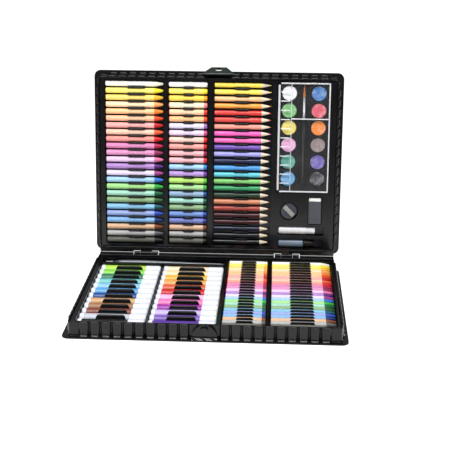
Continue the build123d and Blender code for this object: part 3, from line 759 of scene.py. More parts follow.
@dataclass(frozen=True)
class CaseHalf:
    """Ribbed tub with a wide base flange: profiles carried round a rounded rectangle."""

    half_x: float = 187.0
    half_y: float = 136.0
    corner: float = 6.0
    flange_x: float = 195.0
    flange_y: float = 144.0
    flange_corner: float = 10.0
    high: float = 22.5
    base: float = 2.0
    wall: float = 2.0
    rib_width: float = 9.4
    rib_proud: float = 1.5
    rib_pitch: float = 15.2
    groove: float = -0.75
    front_first: float = 27.6
    front_count: int = 10
    side_first: float = 7.6
    side_count: int = 8

    def _stations(self, reach: float, first: float, count: int) -> tuple[np.ndarray, np.ndarray]:
        """Places along one wall and the rib's share at each.

        The share is 1 on a rib, a little less in its flutes and below 0 in the V groove beside it.

        Args:
            reach: Half length of the straight wall.
            first: Distance from the wall's middle to the first rib.
            count: Ribs on each side of the middle.

        Returns:
            The places and their shares.
        """
        one_side = first + self.rib_pitch * np.arange(count)
        centres = np.concatenate([-one_side[::-1], one_side])
        half = self.rib_width / 2
        groove = self.rib_pitch / 2 - half
        outer = np.array([half + groove - 0.35, half + 0.45 * groove, half, half - 0.45])
        outer_share = np.array([self.groove, 0.2, 0.93, 1.0])
        flutes = np.linspace(-0.62, 0.62, 9) * half
        flute_share = 1 - 0.07 * (np.arange(9) % 2)
        steps = np.concatenate([-outer, flutes, outer[::-1]])
        shares = np.concatenate([outer_share, flute_share, outer_share[::-1]])
        places = (centres[:, None] + steps).ravel()
        ribs = np.tile(shares, len(centres))
        return np.concatenate([[-reach], places, [reach]]), np.concatenate([[0.0], ribs, [0.0]])

    def _perimeter(self) -> tuple[np.ndarray, np.ndarray, np.ndarray, np.ndarray]:
        """One turn round the half, clockwise from above.

        Returns:
            Wall points, their outward normals, rib shares and the flange points that match them.
        """
        reach_x, reach_y = self.half_x - self.corner, self.half_y - self.corner
        along_x, ribs_x = self._stations(reach_x, self.front_first, self.front_count)
        along_y, ribs_y = self._stations(reach_y, self.side_first, self.side_count)
        walls, normals, shares, flanges = [], [], [], []
        flange_reach = (self.flange_x - self.flange_corner, self.flange_y - self.flange_corner)
        for turn in range(4):
            across = turn % 2 == 0
            along, ribs = (along_x, ribs_x) if across else (along_y, ribs_y)
            distance = self.half_y if across else self.half_x
            reach = reach_x if across else reach_y
            far = self.flange_y if across else self.flange_x
            stretch = flange_reach[0 if across else 1] / reach
            straight = np.stack([along, np.full_like(along, distance)], axis=1)
            flange = np.stack([along * stretch, np.full_like(along, far)], axis=1)
            bend = np.radians(np.linspace(90, 0, 11)[1:-1])
            outward = np.stack([np.cos(bend), np.sin(bend)], axis=1)
            corner = np.array([reach, distance - self.corner]) + self.corner * outward
            far_middle = np.array([reach * stretch, far - self.flange_corner])
            angle = -turn * math.pi / 2
            spin = np.array([[math.cos(angle), math.sin(angle)], [-math.sin(angle), math.cos(angle)]])
            walls.append(np.concatenate([straight, corner]) @ spin)
            flanges.append(np.concatenate([flange, far_middle + self.flange_corner * outward]) @ spin)
            normals.append(np.concatenate([np.tile((0.0, 1.0), (len(along), 1)), outward]) @ spin)
            shares.append(np.concatenate([ribs, np.zeros(len(bend))]))
        return tuple(np.concatenate(part) for part in (walls, normals, shares, flanges))

    def surface(self) -> Surface:
        """The half about its own middle.

        A flange ring is (t, z): points wall + t (flange - wall). A wall ring is (o, p, z): points
        wall + (o + p times the rib share) normal.

        Returns:
            The closed surface.
        """
        wall, normal, share, flange = self._perimeter()
        base, top, proud, inner = self.base, self.high, self.rib_proud, -self.wall
        flange_rings = (
            (0.8, 0.0),
            (0.94, 0.0),
            (0.985, 0.14),
            (1.0, 0.5),
            (1.0, base - 0.5),
            (0.985, base - 0.14),
            (0.94, base),
            (0.7, base),
        )
        wall_rings = (
            (1.5, proud + 2.0, base + 0.02),
            (1.05, proud + 1.75, base + 0.15),
            (0.85, proud + 1.55, base + 0.4),
            (0.15, proud + 0.35, base + 2.3),
            (0.02, proud + 0.16, base + 3.0),
            (0.0, proud + 0.05, base + 5.5),
            (0.0, proud, base + 9.0),
            (0.0, proud, top - 1.6),
            (0.0, proud, top - 1.2),
            (-0.12, proud - 0.05, top - 0.8),
            (-0.55, proud - 0.3, top - 0.2),
            (-0.95, proud - 0.65, top),
            (-1.3, 0.0, top),
            (inner + 0.25, 0.0, top - 0.1),
            (inner, 0.0, top - 0.4),
            (inner, 0.0, top - 1.5),
            (inner, 0.0, base + 0.7),
            (inner - 0.6, 0.0, base),
            (inner - 2.0, 0.0, base),
        )
        count = len(wall)
        points = np.empty((len(flange_rings) + len(wall_rings), count, 3))
        for row, (mixed, height) in enumerate(flange_rings):
            points[row, :, :2] = wall + (flange - wall) * mixed
            points[row, :, 2] = height
        for row, (offset, out, height) in enumerate(wall_rings, len(flange_rings)):
            points[row, :, :2] = wall + normal * (offset + out * share)[:, None]
            points[row, :, 2] = height
        flat_points, faces = grid(points, closed=True)
        ring = np.arange(count)
        last = ring + (len(points) - 1) * count
        return flat_points, [*faces, ring[None, :], last[::-1][None, :]]


@dataclass(frozen=True)
class LatchPad:
    """Half-round pad with rounded edges, whose foot slopes outwards in shallow slanting ripples."""

    radius: float = 18.0
    middle: float = 4.5
    base: float = 2.0
    proud: float = 3.5
    foot_proud: float = 7.0
    foot_top: float = 5.5
    edge: float = 1.1
    ripple: float = 0.14
    ripple_along: float = 13.0
    ripple_up: float = 5.5
    face_y: float = -136.0

    def surface(self) -> Surface:
        """Rows of round-cornered cross-sections: half width r cos(a) at height middle + r sin(a).

        The foot adds ripple x sin(2 pi (x / ripple_along + z / ripple_up)) to its slope.

        Returns:
            The open surface, whose back edge lies in the wall.
        """
        rise = np.radians(np.concatenate([np.linspace(0, 60, 11), np.linspace(66, 90, 7)]))
        foot = np.linspace(self.base, self.middle, 13)[:-1]
        height = np.concatenate([foot, self.middle + self.radius * np.sin(rise)])
        half = np.concatenate([np.full(len(foot), self.radius), self.radius * np.cos(rise)])
        half = np.maximum(half, 0.05)
        slope = np.clip((self.foot_top - height) / (self.foot_top - self.base), 0, 1)
        out = self.proud + (self.foot_proud - self.proud) * slope
        top = np.clip((self.middle + self.radius - height) / self.edge, 0, 1)
        out = out - self.edge * (1 - np.sqrt(1 - (1 - top) ** 2))
        bend = np.linspace(0, math.pi / 2, 6)
        radius = np.minimum(self.edge, half * 0.9)[:, None]
        left_x = -half[:, None] + radius * (1 - np.cos(bend))
        left_y = -(out[:, None] - radius * (1 - np.sin(bend)))
        behind = np.full((len(height), 1), 0.8)
        face_x = np.linspace(-1, 1, 41)[1:-1] * (half[:, None] - radius)
        phase = face_x / self.ripple_along + height[:, None] / self.ripple_up
        face_y = self.ripple * np.sin(2 * math.pi * phase) * smooth(slope * 3)[:, None] - out[:, None]
        x = np.hstack([-half[:, None], left_x, face_x, -left_x[:, ::-1], half[:, None]])
        y = np.hstack([behind, left_y, face_y, left_y[:, ::-1], behind]) + self.face_y
        z = np.broadcast_to(height[:, None], x.shape)
        flat_points, faces = grid(np.stack([x, y, z], axis=2))
        return flat_points, [face[:, ::-1] for face in faces]


@dataclass(frozen=True)
class BackLedge:
    """Ledge along the back rim that carries the hinge line, cut out round the hinge stations."""

    reach: float = 186.0
    clear: float = 0.9
    near: float = 135.6
    far: float = 142.6
    far_of_knuckle: float = 140.3
    low: float = 19.6
    high: float = 22.35
    roll: float = 1.2

    def _spans(self) -> list[tuple[float, float]]:
        """Stretches of the back rim that hold no knuckle."""
        left, right = HINGE.stations
        out = HINGE.reach + self.clear
        return [(-self.reach, left - out), (left + out, right - out), (right + out, self.reach)]

    def _bar(self, low: float, high: float, far: float) -> Surface:
        """Flat bar between two places along X, from the rim out to a depth."""
        return rounded_box((low, self.near, self.low), (high, far, self.high), 0.4)

    def of_lid(self) -> list[Surface]:
        """The lid's bars, with one more on each side of its knuckles.

        Returns:
            The bars in a half's own frame.
        """
        made = [self._bar(low, high, self.far) for low, high in self._spans()]
        for x in HINGE.stations:
            for side in (-1, 1):
                ends = (x + side * (HINGE.inner - 0.5), x + side * (HINGE.reach + self.clear + 0.5))
                made.append(self._bar(min(ends), max(ends), self.far_of_knuckle))
        return made

    def of_tray(self) -> list[Surface]:
        """The tray's bars, and the roll on the hinge line with the web that carries it.

        Returns:
            The bars, rolls and webs in a half's own frame.
        """
        made = [self._bar(low, high, self.far) for low, high in self._spans()]
        for low, high in self._spans():
            length, blunt = high - low, self.roll - 0.3
            ends = ((0.0, blunt), (0.3, self.roll), (length - 0.3, self.roll), (length, blunt))
            made.append(turned(ends, (low, HINGE.line_y, HINGE.line_z), 20))
            web = (low, self.far - 0.6, self.low + 1.4)
            made.append(rounded_box(web, (high, HINGE.line_y, self.high - 0.1), 0.2))
        return made


@dataclass(frozen=True)
class HingeStation:
    """Knuckles on the hinge line, each on a gusset to the wall."""

    x: float
    radius: float = 3.2
    wall_y: float = 135.0
    rim_z: float = 22.5
    drop: float = 7.5

    def _arm(self, low: float, high: float) -> Surface:
        """Gusset and rounded knuckle as one outline of (y, z), extruded along the hinge line.

        Args:
            low: Where the arm starts along X.
            high: Where it ends.

        Returns:
            The closed surface in a half's own frame.
        """
        foot = HINGE.line_z - self.radius
        knuckle = arc((HINGE.line_y, HINGE.line_z), self.radius, -90, 176, 22)
        start = np.array([[self.wall_y, foot - self.drop], [HINGE.line_y - 1.6, foot - 0.05]])
        end = np.array([[HINGE.line_y - self.radius, self.rim_z], [self.wall_y, self.rim_z]])
        return extruded(np.concatenate([start, knuckle, end]), low, high)

    def of_lid(self) -> list[Surface]:
        """The lid's one inner arm."""
        return [self._arm(self.x - HINGE.inner, self.x + HINGE.inner)]

    def of_tray(self) -> list[Surface]:
        """The tray's two outer arms."""
        near, far = HINGE.inner + HINGE.gap, HINGE.reach
        return [self._arm(self.x - far, self.x - near), self._arm(self.x + near, self.x + far)]


# Inserts


@dataclass(frozen=True)
class Rows:
    """Even rows, from the first one down the lid or forward in the tray."""

    first: float
    pitch: float
    count: int

    def places(self) -> np.ndarray:
        """Middle of each row."""
        return self.first - self.pitch * np.arange(self.count)

    def between(self) -> np.ndarray:
        """Middle of each gap between two rows."""
        return self.first - self.pitch * (np.arange(self.count - 1) + 0.5)

    def span(self, margin: float) -> tuple[float, float]:
        """Reach of all the rows, with a margin past the middles of the last and the first."""
        return self.first - (self.count - 1) * self.pitch - margin, self.first + margin


@dataclass(frozen=True)
class Pocket:
    """Rounded rectangular hollow in an insert."""

    x: tuple[float, float]
    y: tuple[float, float]
    floor: float
    corner: float = 2.5
    edge: float = 0.9

    def lines(self, axis: int) -> np.ndarray:
        """Grid lines that the walls and corners need along one axis."""
        low, high = (self.x, self.y)[axis]
        edge = np.array([-1.2, -0.45, -0.2, 0.0, 0.2, 0.45, 1.2])
        turn = self.corner * np.array([0.1, 0.35, 0.65, 1.0])
        return np.concatenate([low + edge, high - edge, low + turn, high - turn])

    def depth(self, x: np.ndarray, y: np.ndarray) -> np.ndarray:
        """Share of the way down to the floor, from the distance to the rounded rectangle.

        Args:
            x: Places along X.
            y: Places along Y.

        Returns:
            0 on the deck, 1 on the floor.
        """
        half_x, half_y = (self.x[1] - self.x[0]) / 2, (self.y[1] - self.y[0]) / 2
        from_x = np.abs(x - sum(self.x) / 2) - half_x + self.corner
        from_y = np.abs(y - sum(self.y) / 2) - half_y + self.corner
        outside = np.hypot(np.maximum(from_x, 0), np.maximum(from_y, 0))
        inside = np.minimum(np.maximum(from_x, from_y), 0)
        return smooth((self.edge / 2 - (outside + inside - self.corner)) / self.edge)


@dataclass(frozen=True)
class RoundPocket:
    """Round hollow in an insert."""

    centre: tuple[float, float]
    radius: float
    floor: float
    edge: float = 1.2

    def lines(self, axis: int) -> np.ndarray:
        """Grid lines that the round wall needs along one axis."""
        return self.centre[axis] + np.arange(-self.radius - 1.5, self.radius + 1.6, 0.55)

    def depth(self, x: np.ndarray, y: np.ndarray) -> np.ndarray:
        """Share of the way down to the floor, from the distance to the circle."""
        distance = np.hypot(x - self.centre[0], y - self.centre[1]) - self.radius
        return smooth((self.edge / 2 - distance) / self.edge)


@dataclass(frozen=True)
class Ridges:
    """Shouldered ridges that stand between neighbouring sticks."""

    x: float
    length: float
    rows: Rows
    thick: float
    low: float
    top: float
    shoulder: float
    round_over: float

    def lines(self, axis: int) -> np.ndarray:
        """Grid lines that the ridges need along one axis."""
        if axis == 0:
            steps = self.shoulder * np.array([0.0, 0.04, 0.14, 0.3, 0.55, 0.8, 1.0])
            return np.concatenate([self.x + steps, self.x + self.length - steps])
        half = self.thick / 2
        across = np.array([half - self.round_over, half - 0.35 * self.round_over, half - 0.08, half])
        return (self.rows.between()[:, None] + np.concatenate([-across, across])).ravel()

    def height(self, x: np.ndarray, y: np.ndarray) -> np.ndarray:
        """Height of the ridges: shoulders (1 - (1 - t)^3)^(1/3) along X and rounded edges across Y.

        Args:
            x: Grid lines along X.
            y: Grid lines along Y.

        Returns:
            Heights over the grid, low beside the ridges.
        """
        inward = np.minimum(x - self.x, self.x + self.length - x) / self.shoulder
        along = np.cbrt(1 - (1 - np.clip(inward, 0, 1)) ** 3)
        nearest = np.min(np.abs(y[None, :] - self.rows.between()[:, None]), axis=0)
        over = np.clip((nearest - (self.thick / 2 - self.round_over)) / self.round_over, 0, 1)
        rounded = (self.top - self.low) - self.round_over * (1 - np.sqrt(1 - over**2))
        across = np.where((over < 1) & (nearest <= self.thick / 2 + 1e-6), rounded, 0.0)
        return self.low + along[:, None] * across[None, :]


@dataclass(frozen=True)
class Insert:
    """Formed sheet: a deck with hollows and ridges, as a height over a grid with lines at every edge."""

    middle: tuple[float, float]
    pockets: tuple[Pocket | RoundPocket, ...]
    ridges: tuple[Ridges, ...] = ()
    half: tuple[float, float] = (184.6, 133.6)
    deck: float = 20.5
    low: float = 2.15
    rim: float = 0.8

    def _lines(self, axis: int) -> np.ndarray:
        """Sorted grid lines along one axis, with near doubles left out."""
        low, high = self.middle[axis] - self.half[axis], self.middle[axis] + self.half[axis]
        rim = np.array([0.0, 0.2, 0.6, 1.2])
        gathered = [low + rim, high - rim, np.linspace(low, high, 20)]
        gathered += [form.lines(axis) for form in (*self.pockets, *self.ridges)]
        line = np.unique(np.round(np.concatenate(gathered), 3))
        line = line[(line >= low) & (line <= high)]
        return line[np.concatenate([[True], np.diff(line) > 0.03])]

    def _heights(self, x: np.ndarray, y: np.ndarray) -> tuple[np.ndarray, np.ndarray, np.ndarray]:
        """The deck lowered by each pocket, raised by each ridge and rounded at its rim.

        Args:
            x: Grid lines along X.
            y: Grid lines along Y.

        Returns:
            X, Y and height over the grid.
        """
        grid_x, grid_y = np.meshgrid(x, y, indexing="ij")
        height = np.full(grid_x.shape, self.deck)
        for pocket in self.pockets:
            floor = self.deck - (self.deck - pocket.floor) * pocket.depth(grid_x, grid_y)
            height = np.minimum(height, floor)
        for ridge in self.ridges:
            height = np.maximum(height, ridge.height(x, y))
        inward_x = self.half[0] - np.abs(grid_x - self.middle[0])
        inward_y = self.half[1] - np.abs(grid_y - self.middle[1])
        inward = np.clip(np.minimum(inward_x, inward_y) / self.rim, 0, 1)
        return grid_x, grid_y, height - self.rim * (1 - np.sqrt(1 - (1 - inward) ** 2))

    def surface(self) -> Surface:
        """The sheet's top and its skirt, closed underneath.

        Returns:
            The closed surface.
        """
        points = np.stack(self._heights(self._lines(0), self._lines(1)), axis=2)
        flat_points, faces = grid(points)
        rows, columns = points.shape[:2]
        index = np.arange(rows * columns).reshape(rows, columns)
        border = np.concatenate([index[:-1, 0], index[-1, :-1], index[:0:-1, -1], index[0, :0:-1]])
        skirt = flat_points[border].copy()
        skirt[:, 2] = self.low
        lower = np.arange(len(border)) + len(flat_points)
        walls = np.stack([border, lower, np.roll(lower, -1), np.roll(border, -1)], axis=1)
        return np.concatenate([flat_points, skirt]), [*faces, walls, lower[::-1][None, :]]


# Sticks and markers


@dataclass(frozen=True)
class Stick:
    """Sizes of one kind of stick: its sleeve or lacquer, and the end that is left bare."""

    length: float
    radius: float
    bare: float
    point: float = 0.0

    def crayon(self) -> tuple[Stretch, ...]:
        """Wrapped crayon: wax rim, sleeve, wax band and blunt cone."""
        wax, length, cone = self.radius - 0.18, self.length, self.length - self.bare
        rim = ((0.0, wax - 0.7), (0.1, wax - 0.3), (0.3, wax), (0.45, wax))
        sleeve = ((0.45, wax), (0.5, self.radius), (cone - 3.4, self.radius), (cone - 3.3, wax))
        tip = (
            (cone - 3.3, wax),
            (cone - 0.6, wax),
            (cone, wax - 0.12),
            (length - 1.2, self.point + 0.35),
            (length - 0.4, self.point - 0.1),
            (length, self.point - 0.8),
        )
        return ((Zone.END, rim), (Zone.BODY, sleeve), (Zone.END, tip))

    def pastel(self) -> tuple[Stretch, ...]:
        """Blunt pastel: rounded wax ends and a sleeve."""
        wax, length, band = self.radius - 0.18, self.length, self.length - self.bare
        rim = ((0.0, wax - 1.1), (0.15, wax - 0.6), (0.6, wax - 0.1), (1.0, wax), (1.2, wax))
        sleeve = ((1.2, wax), (1.25, self.radius), (band, self.radius), (band + 0.05, wax))
        tip = ((band, wax), (length - 1.4, wax), (length - 0.5, wax - 0.25), (length, wax - 1.1))
        return ((Zone.END, rim), (Zone.BODY, sleeve), (Zone.END, tip))

    def pencil(self) -> tuple[Stretch, ...]:
        """Lacquered pencil: flat end and lacquer, wood cone and core."""
        radius, length, cone = self.radius, self.length, self.length - self.bare
        lead = length - 3.0
        lead_radius = self.point + (radius - self.point) * 3.0 / self.bare
        lacquer = ((0.0, radius - 0.5), (0.12, radius - 0.15), (0.5, radius), (cone, radius))
        wood = ((cone, radius - 0.05), (lead, lead_radius))
        core = ((lead, lead_radius), (length - 0.3, self.point + 0.1), (length, self.point - 0.15))
        return ((Zone.BODY, lacquer), (Zone.END, wood), (Zone.CORE, core))


CRAYON = Stick(90.0, 4.2, bare=11.0, point=1.6)
PASTEL = Stick(60.0, 4.2, bare=5.5)
PENCIL = Stick(88.0, 3.75, bare=15.0, point=0.4)


@dataclass(frozen=True)
class StickColumn:
    """Column of like sticks, each turned from a few painted stretches along X."""

    x: float
    rows: Rows
    top: float
    radius: float
    stretches: tuple[Stretch, ...]
    sides: int = 28

    def build(self, shape: Shape, colours: Sequence[Colour], seconds: Sequence[Colour]) -> Shape:
        """Adds every stick.

        Args:
            shape: What the sticks are added to.
            colours: Colour of each sleeve or lacquer.
            seconds: Colour of each bare end.

        Returns:
            The shape.
        """
        last = len(self.stretches) - 1
        for y, colour, second in zip(self.rows.places(), colours, seconds):
            start = (self.x, y, self.top - self.radius)
            for at, (zone, profile) in enumerate(self.stretches):
                caps = (at == 0, at == last)
                shape.add(turned(profile, start, self.sides, caps), colour, second, zone)
        return shape


@dataclass(frozen=True)
class MarkerColumn:
    """Column of markers: white rear plugs, coloured barrels and white caps with a seam near the open end."""

    x: float
    rows: Rows
    top: float
    colours: tuple[Colour, ...]
    radius: float = 7.5
    barrel_radius: float = 7.2
    plug: float = 6.5
    barrel: float = 63.5
    cap: float = 23.0
    white: Colour = tint("EAEEF5")
    sides: int = 36

    def _add(self, shape: Shape, profile: Profile, colours: Iterable[Colour]) -> Shape:
        """Adds one turned part of every marker."""
        for y, colour in zip(self.rows.places(), colours):
            shape.add(turned(profile, (self.x, y, self.top - self.radius), self.sides), colour)
        return shape

    def plugs(self, shape: Shape) -> Shape:
        """Adds the rear plugs."""
        r, length = self.radius, self.plug
        back = ((0.0, r - 2.2), (0.25, r - 1.3), (0.9, r - 0.5), (2.0, r - 0.08), (3.2, r))
        profile = (*back, (length - 0.3, r), (length, r - 0.3))
        return self._add(shape, profile, [self.white] * self.rows.count)

    def barrels(self, shape: Shape) -> Shape:
        """Adds the barrels, with a fine groove by the cap."""
        r, low, high = self.barrel_radius, self.plug, self.plug + self.barrel
        groove = ((high - 2.4, r), (high - 2.2, r - 0.2), (high - 1.9, r - 0.2), (high - 1.7, r))
        return self._add(shape, ((low, r), *groove, (high, r)), self.colours)

    def caps(self, shape: Shape) -> Shape:
        """Adds the caps."""
        r, low = self.radius, self.plug + self.barrel
        high = low + self.cap
        mouth = ((low, r - 0.25), (low + 0.25, r))
        seam = ((low + 4.9, r), (low + 5.05, r - 0.28), (low + 5.35, r - 0.28), (low + 5.5, r))
        dome = ((high - 4.0, r), (high - 2.0, r - 0.22), (high - 0.8, r - 0.8), (high - 0.2, r - 1.6))
        profile = (*mouth, *seam, *dome, (high, r - 2.6))
        return self._add(shape, profile, [self.white] * self.rows.count)


# Brushes


@dataclass(frozen=True)
class Tuft:
    """Bristles as many thin tapered strands from a root outline to a tip outline.

    P(s, u) = root_s + u (tip_s - root_s) + bow_s sin(pi u) off the axis.
    """

    start: tuple[float, float, float]
    length: float
    root: tuple[float, float]
    tip: tuple[float, float]
    strands: int
    thick: float
    bow: float = 0.12
    seed: int = 3

    def build(self, shape: Shape) -> Shape:
        """Adds the strands.

        Args:
            shape: What the strands are added to.

        Returns:
            The shape.
        """
        chance = np.random.default_rng(self.seed)
        angle = chance.uniform(0, 2 * math.pi, self.strands)
        share = np.sqrt(chance.uniform(0, 1, self.strands))
        steps = np.linspace(0, 1, 6)
        reach = self.length * (1 - 0.08 * chance.uniform(0, 1, self.strands) - 0.06 * share**2)
        round_off = np.stack([np.cos(angle) * share, np.sin(angle) * share], axis=1)
        root = round_off * np.array(self.root)
        tip = round_off * np.array(self.tip)
        bow = chance.normal(0, self.bow, (self.strands, 2))
        line = root[:, None, :] + (tip - root)[:, None, :] * steps[None, :, None]
        line = line + bow[:, None, :] * np.sin(math.pi * steps)[None, :, None]
        corner = np.array([[1.0, 0.0], [-0.5, 0.87], [-0.5, -0.87]]) * self.thick
        width = np.array([1.0, 1.0, 0.95, 0.8, 0.5, 0.15])
        offset = corner[None, None, :, :] * width[None, :, None, None]
        points = np.empty((self.strands, len(steps), 3, 3))
        points[..., 0] = (self.start[0] + reach[:, None] * steps)[:, :, None]
        points[..., 1] = self.start[1] + line[:, :, None, 0] + offset[..., 0]
        points[..., 2] = self.start[2] + line[:, :, None, 1] + offset[..., 1]
        index = np.arange(self.strands * len(steps) * 3).reshape(self.strands, len(steps), 3)
        after = np.roll(index, -1, axis=2)
        quads = np.stack([index[:, :-1], index[:, 1:], after[:, 1:], after[:, :-1]], axis=-1)
        quads = quads.reshape(-1, 4)
        if self.length > 0:
            quads = quads[:, ::-1]
        return shape.add((points.reshape(-1, 3), [quads, index[:, -1, :]]))


# Colours, from the lid's top row down and from the tray's rear row forward

CRAYON_SLEEVES = tints(
    "FBFAF2 F8E66C F8D46A FBD9AE F8C08A F9B890 F3A3A0 F9C0A8 EF9088 D980B0 D98BB8 EEC4EE "
    "A880C4 E2D2F4 9CC8F2 9EDC86 9ED4C0 86A87A 80BAE2 90A2DC 80B0E8 DEB08C ACACAC 5E5E56"
)
CRAYON_WAX = tints(
    "F6F2DC F0DC30 F2B428 F2A25C F08428 DC4420 B8141C E05A34 D01820 B01848 8A2858 E070A0 "
    "542078 A04088 2E70CC 2EA83C 10603C 285A28 185868 2C4AB0 14306C 7C4020 5C5C60 181818"
)
PASTEL_SLEEVES = tints(
    "FAFAF6 F8E662 F8D050 FCE8C4 F9C8A0 F9B880 E0D8F4 E6CCF4 F8C8B8 EE9C94 F0AEB4 F4B0B8 "
    "A0CCF4 B490D8 B4E86C A4DC90 8CA8C8 9ED6C2 88AC80 7090D4 727CC0 DCB294 ACACAC 5E5E56"
)
PASTEL_WAX = tints(
    "F4F4EE F2DC20 F0A018 F08888 E03020 E84820 A070B8 D0508C E01C20 C01C20 8C1440 D82838 "
    "3C84D0 6C3CA0 5CC030 38AC44 1C4C98 106048 245C30 2848A8 303C90 804828 606064 181818"
)
PENCILS = tints(
    "F5DC50 FCE35A F2C08A F0A040 E03A34 DC4840 F09A88 F060B8 F56AB5 6A4AA8 A0A0EC 141C48 "
    "4A9AE0 5FC8D8 7AC46A 2E9A60 1C3C2C D68A66 A8443A 401420 3C1018 101C34 101820 0C0C0E"
)
MARKERS_LEFT = tints("B5E64A 88D94E 2F7A5C 74CCC8 8CC8EE 5FA8E0 1C4A92 D8A878 A4754E 84402E C4CAD4 101012")
MARKERS_RIGHT = tints("FDE6BE FBE0B0 F0B838 F5A85C DC5A38 D02028 F6B8E4 F47CC0 A030A8 C8B4F0 7C58B8 5A34A0")
CAKES_LEFT = tints("F4F4F6 7BC074 F0DF70 EDB2DC 56A898 6AAEE0")
CAKES_RIGHT = tints("3C74B4 D45A6C E8863A 8C7C7C 6A5EA8 44464C")

STICK_TOP = 20.0
PENCIL_TOP = 19.6
MARKER_TOP = 19.5
LID_ROWS = Rows(268.6, 10.8, 24)
TRAY_ROWS = Rows(122.6, 10.7, 24)
MARKER_ROWS = Rows(93.0, 19.3, 12)


@dataclass(frozen=True)
class Finishes:
    """Every finish of the set, made once."""

    case: Finish
    insert: Finish
    pin: Finish
    clasp: Finish
    wax: Finish
    pencil: Finish
    palette: Finish
    clear: Finish
    cakes: Finish
    handle: Finish
    silver_handle: Finish
    ferrule: Finish
    dark: Finish
    hair: Finish
    pale_hair: Finish
    steel: Finish
    rubber: Finish
    card: Finish
    white: Finish
    grey: Finish
    marker: Finish

    @classmethod
    def make(cls) -> "Finishes":
        """Builds each finish.

        Returns:
            The finishes, each with its slot of the record.
        """
        steel_lines, ferrule_lines = (1.0, 30.0, 30.0), (20.0, 20.0, 0.6)
        return cls(
            case=Finish.of("case_plastic", Moulded("case_gloss_black", tint("0C0C0E"), 0.12, 0.3, 0.08, 0.2)),
            insert=Finish.of(
                "insert_plastic", Moulded("insert_gloss_black", tint("08080A"), 0.12, 0.32, 0.12, 0.12)
            ),
            pin=Finish.of("pin_steel", Metal("pin_steel", roughness=0.3)),
            clasp=Finish.of(
                "clasp_plastic", Moulded("clasp_smoky_green", tint("142018"), 0.1, 0.5, 0.06, 0.2)
            ),
            wax=Finish.of("wax_sticks", WrappedWax("wrapped_wax")),
            pencil=Finish.of("pencil_wood", Lacquered("pencil_lacquer")),
            palette=Finish.of(
                "palette_plastic", Moulded("palette_black", tint("090A0C"), 0.18, 0.3, 0.06, 0.15)
            ),
            clear=Finish.of("clear_plastic", Clear("cover_clear")),
            cakes=Finish.of("paint_cakes", DryPaint("paint_cakes")),
            handle=Finish.of(
                "brush_handle",
                Moulded("handle_black_lacquer", tint("141416"), 0.12, 0.5, 0.03, 0.1, coat=0.5),
            ),
            silver_handle=Finish.of(
                "brush_handle",
                Moulded("handle_silver_lacquer", tint("5A6068"), 0.18, 0.6, 0.03, 0.1, coat=0.6),
            ),
            ferrule=Finish.of(
                "ferrule_metal", Metal("ferrule_aluminium", tint("E4E6EA"), 0.24, ferrule_lines)
            ),
            dark=Finish.of(
                "sharpener_plastic", Moulded("sharpener_black", tint("343A44"), 0.25, 0.45, 0.05, 0.15)
            ),
            hair=Finish.of("bristles", Hair("bristle_brown", tint("D08040"))),
            pale_hair=Finish.of("bristles", Hair("bristle_pale", tint("C8CCD0"))),
            steel=Finish.of("blade_steel", Metal("blade_steel", tint("B4B2AC"), 0.2, steel_lines)),
            rubber=Finish.of("eraser_rubber", Soft("eraser_rubber", tint("F4F4F0"), 0.7)),
            card=Finish.of("sleeve_card", Soft("eraser_sleeve", tint("4C4F56"), 0.35, 0.08)),
            white=Finish.of("white_plastic", Tinted("white_plastic", 0.22)),
            grey=Finish.of("grey_plastic", Moulded("tube_grey_blue", tint("6E7E92"), 0.22, 0.5, 0.04, 0.1)),
            marker=Finish.of("marker_plastic", Tinted("marker_plastic", 0.2)),
        )


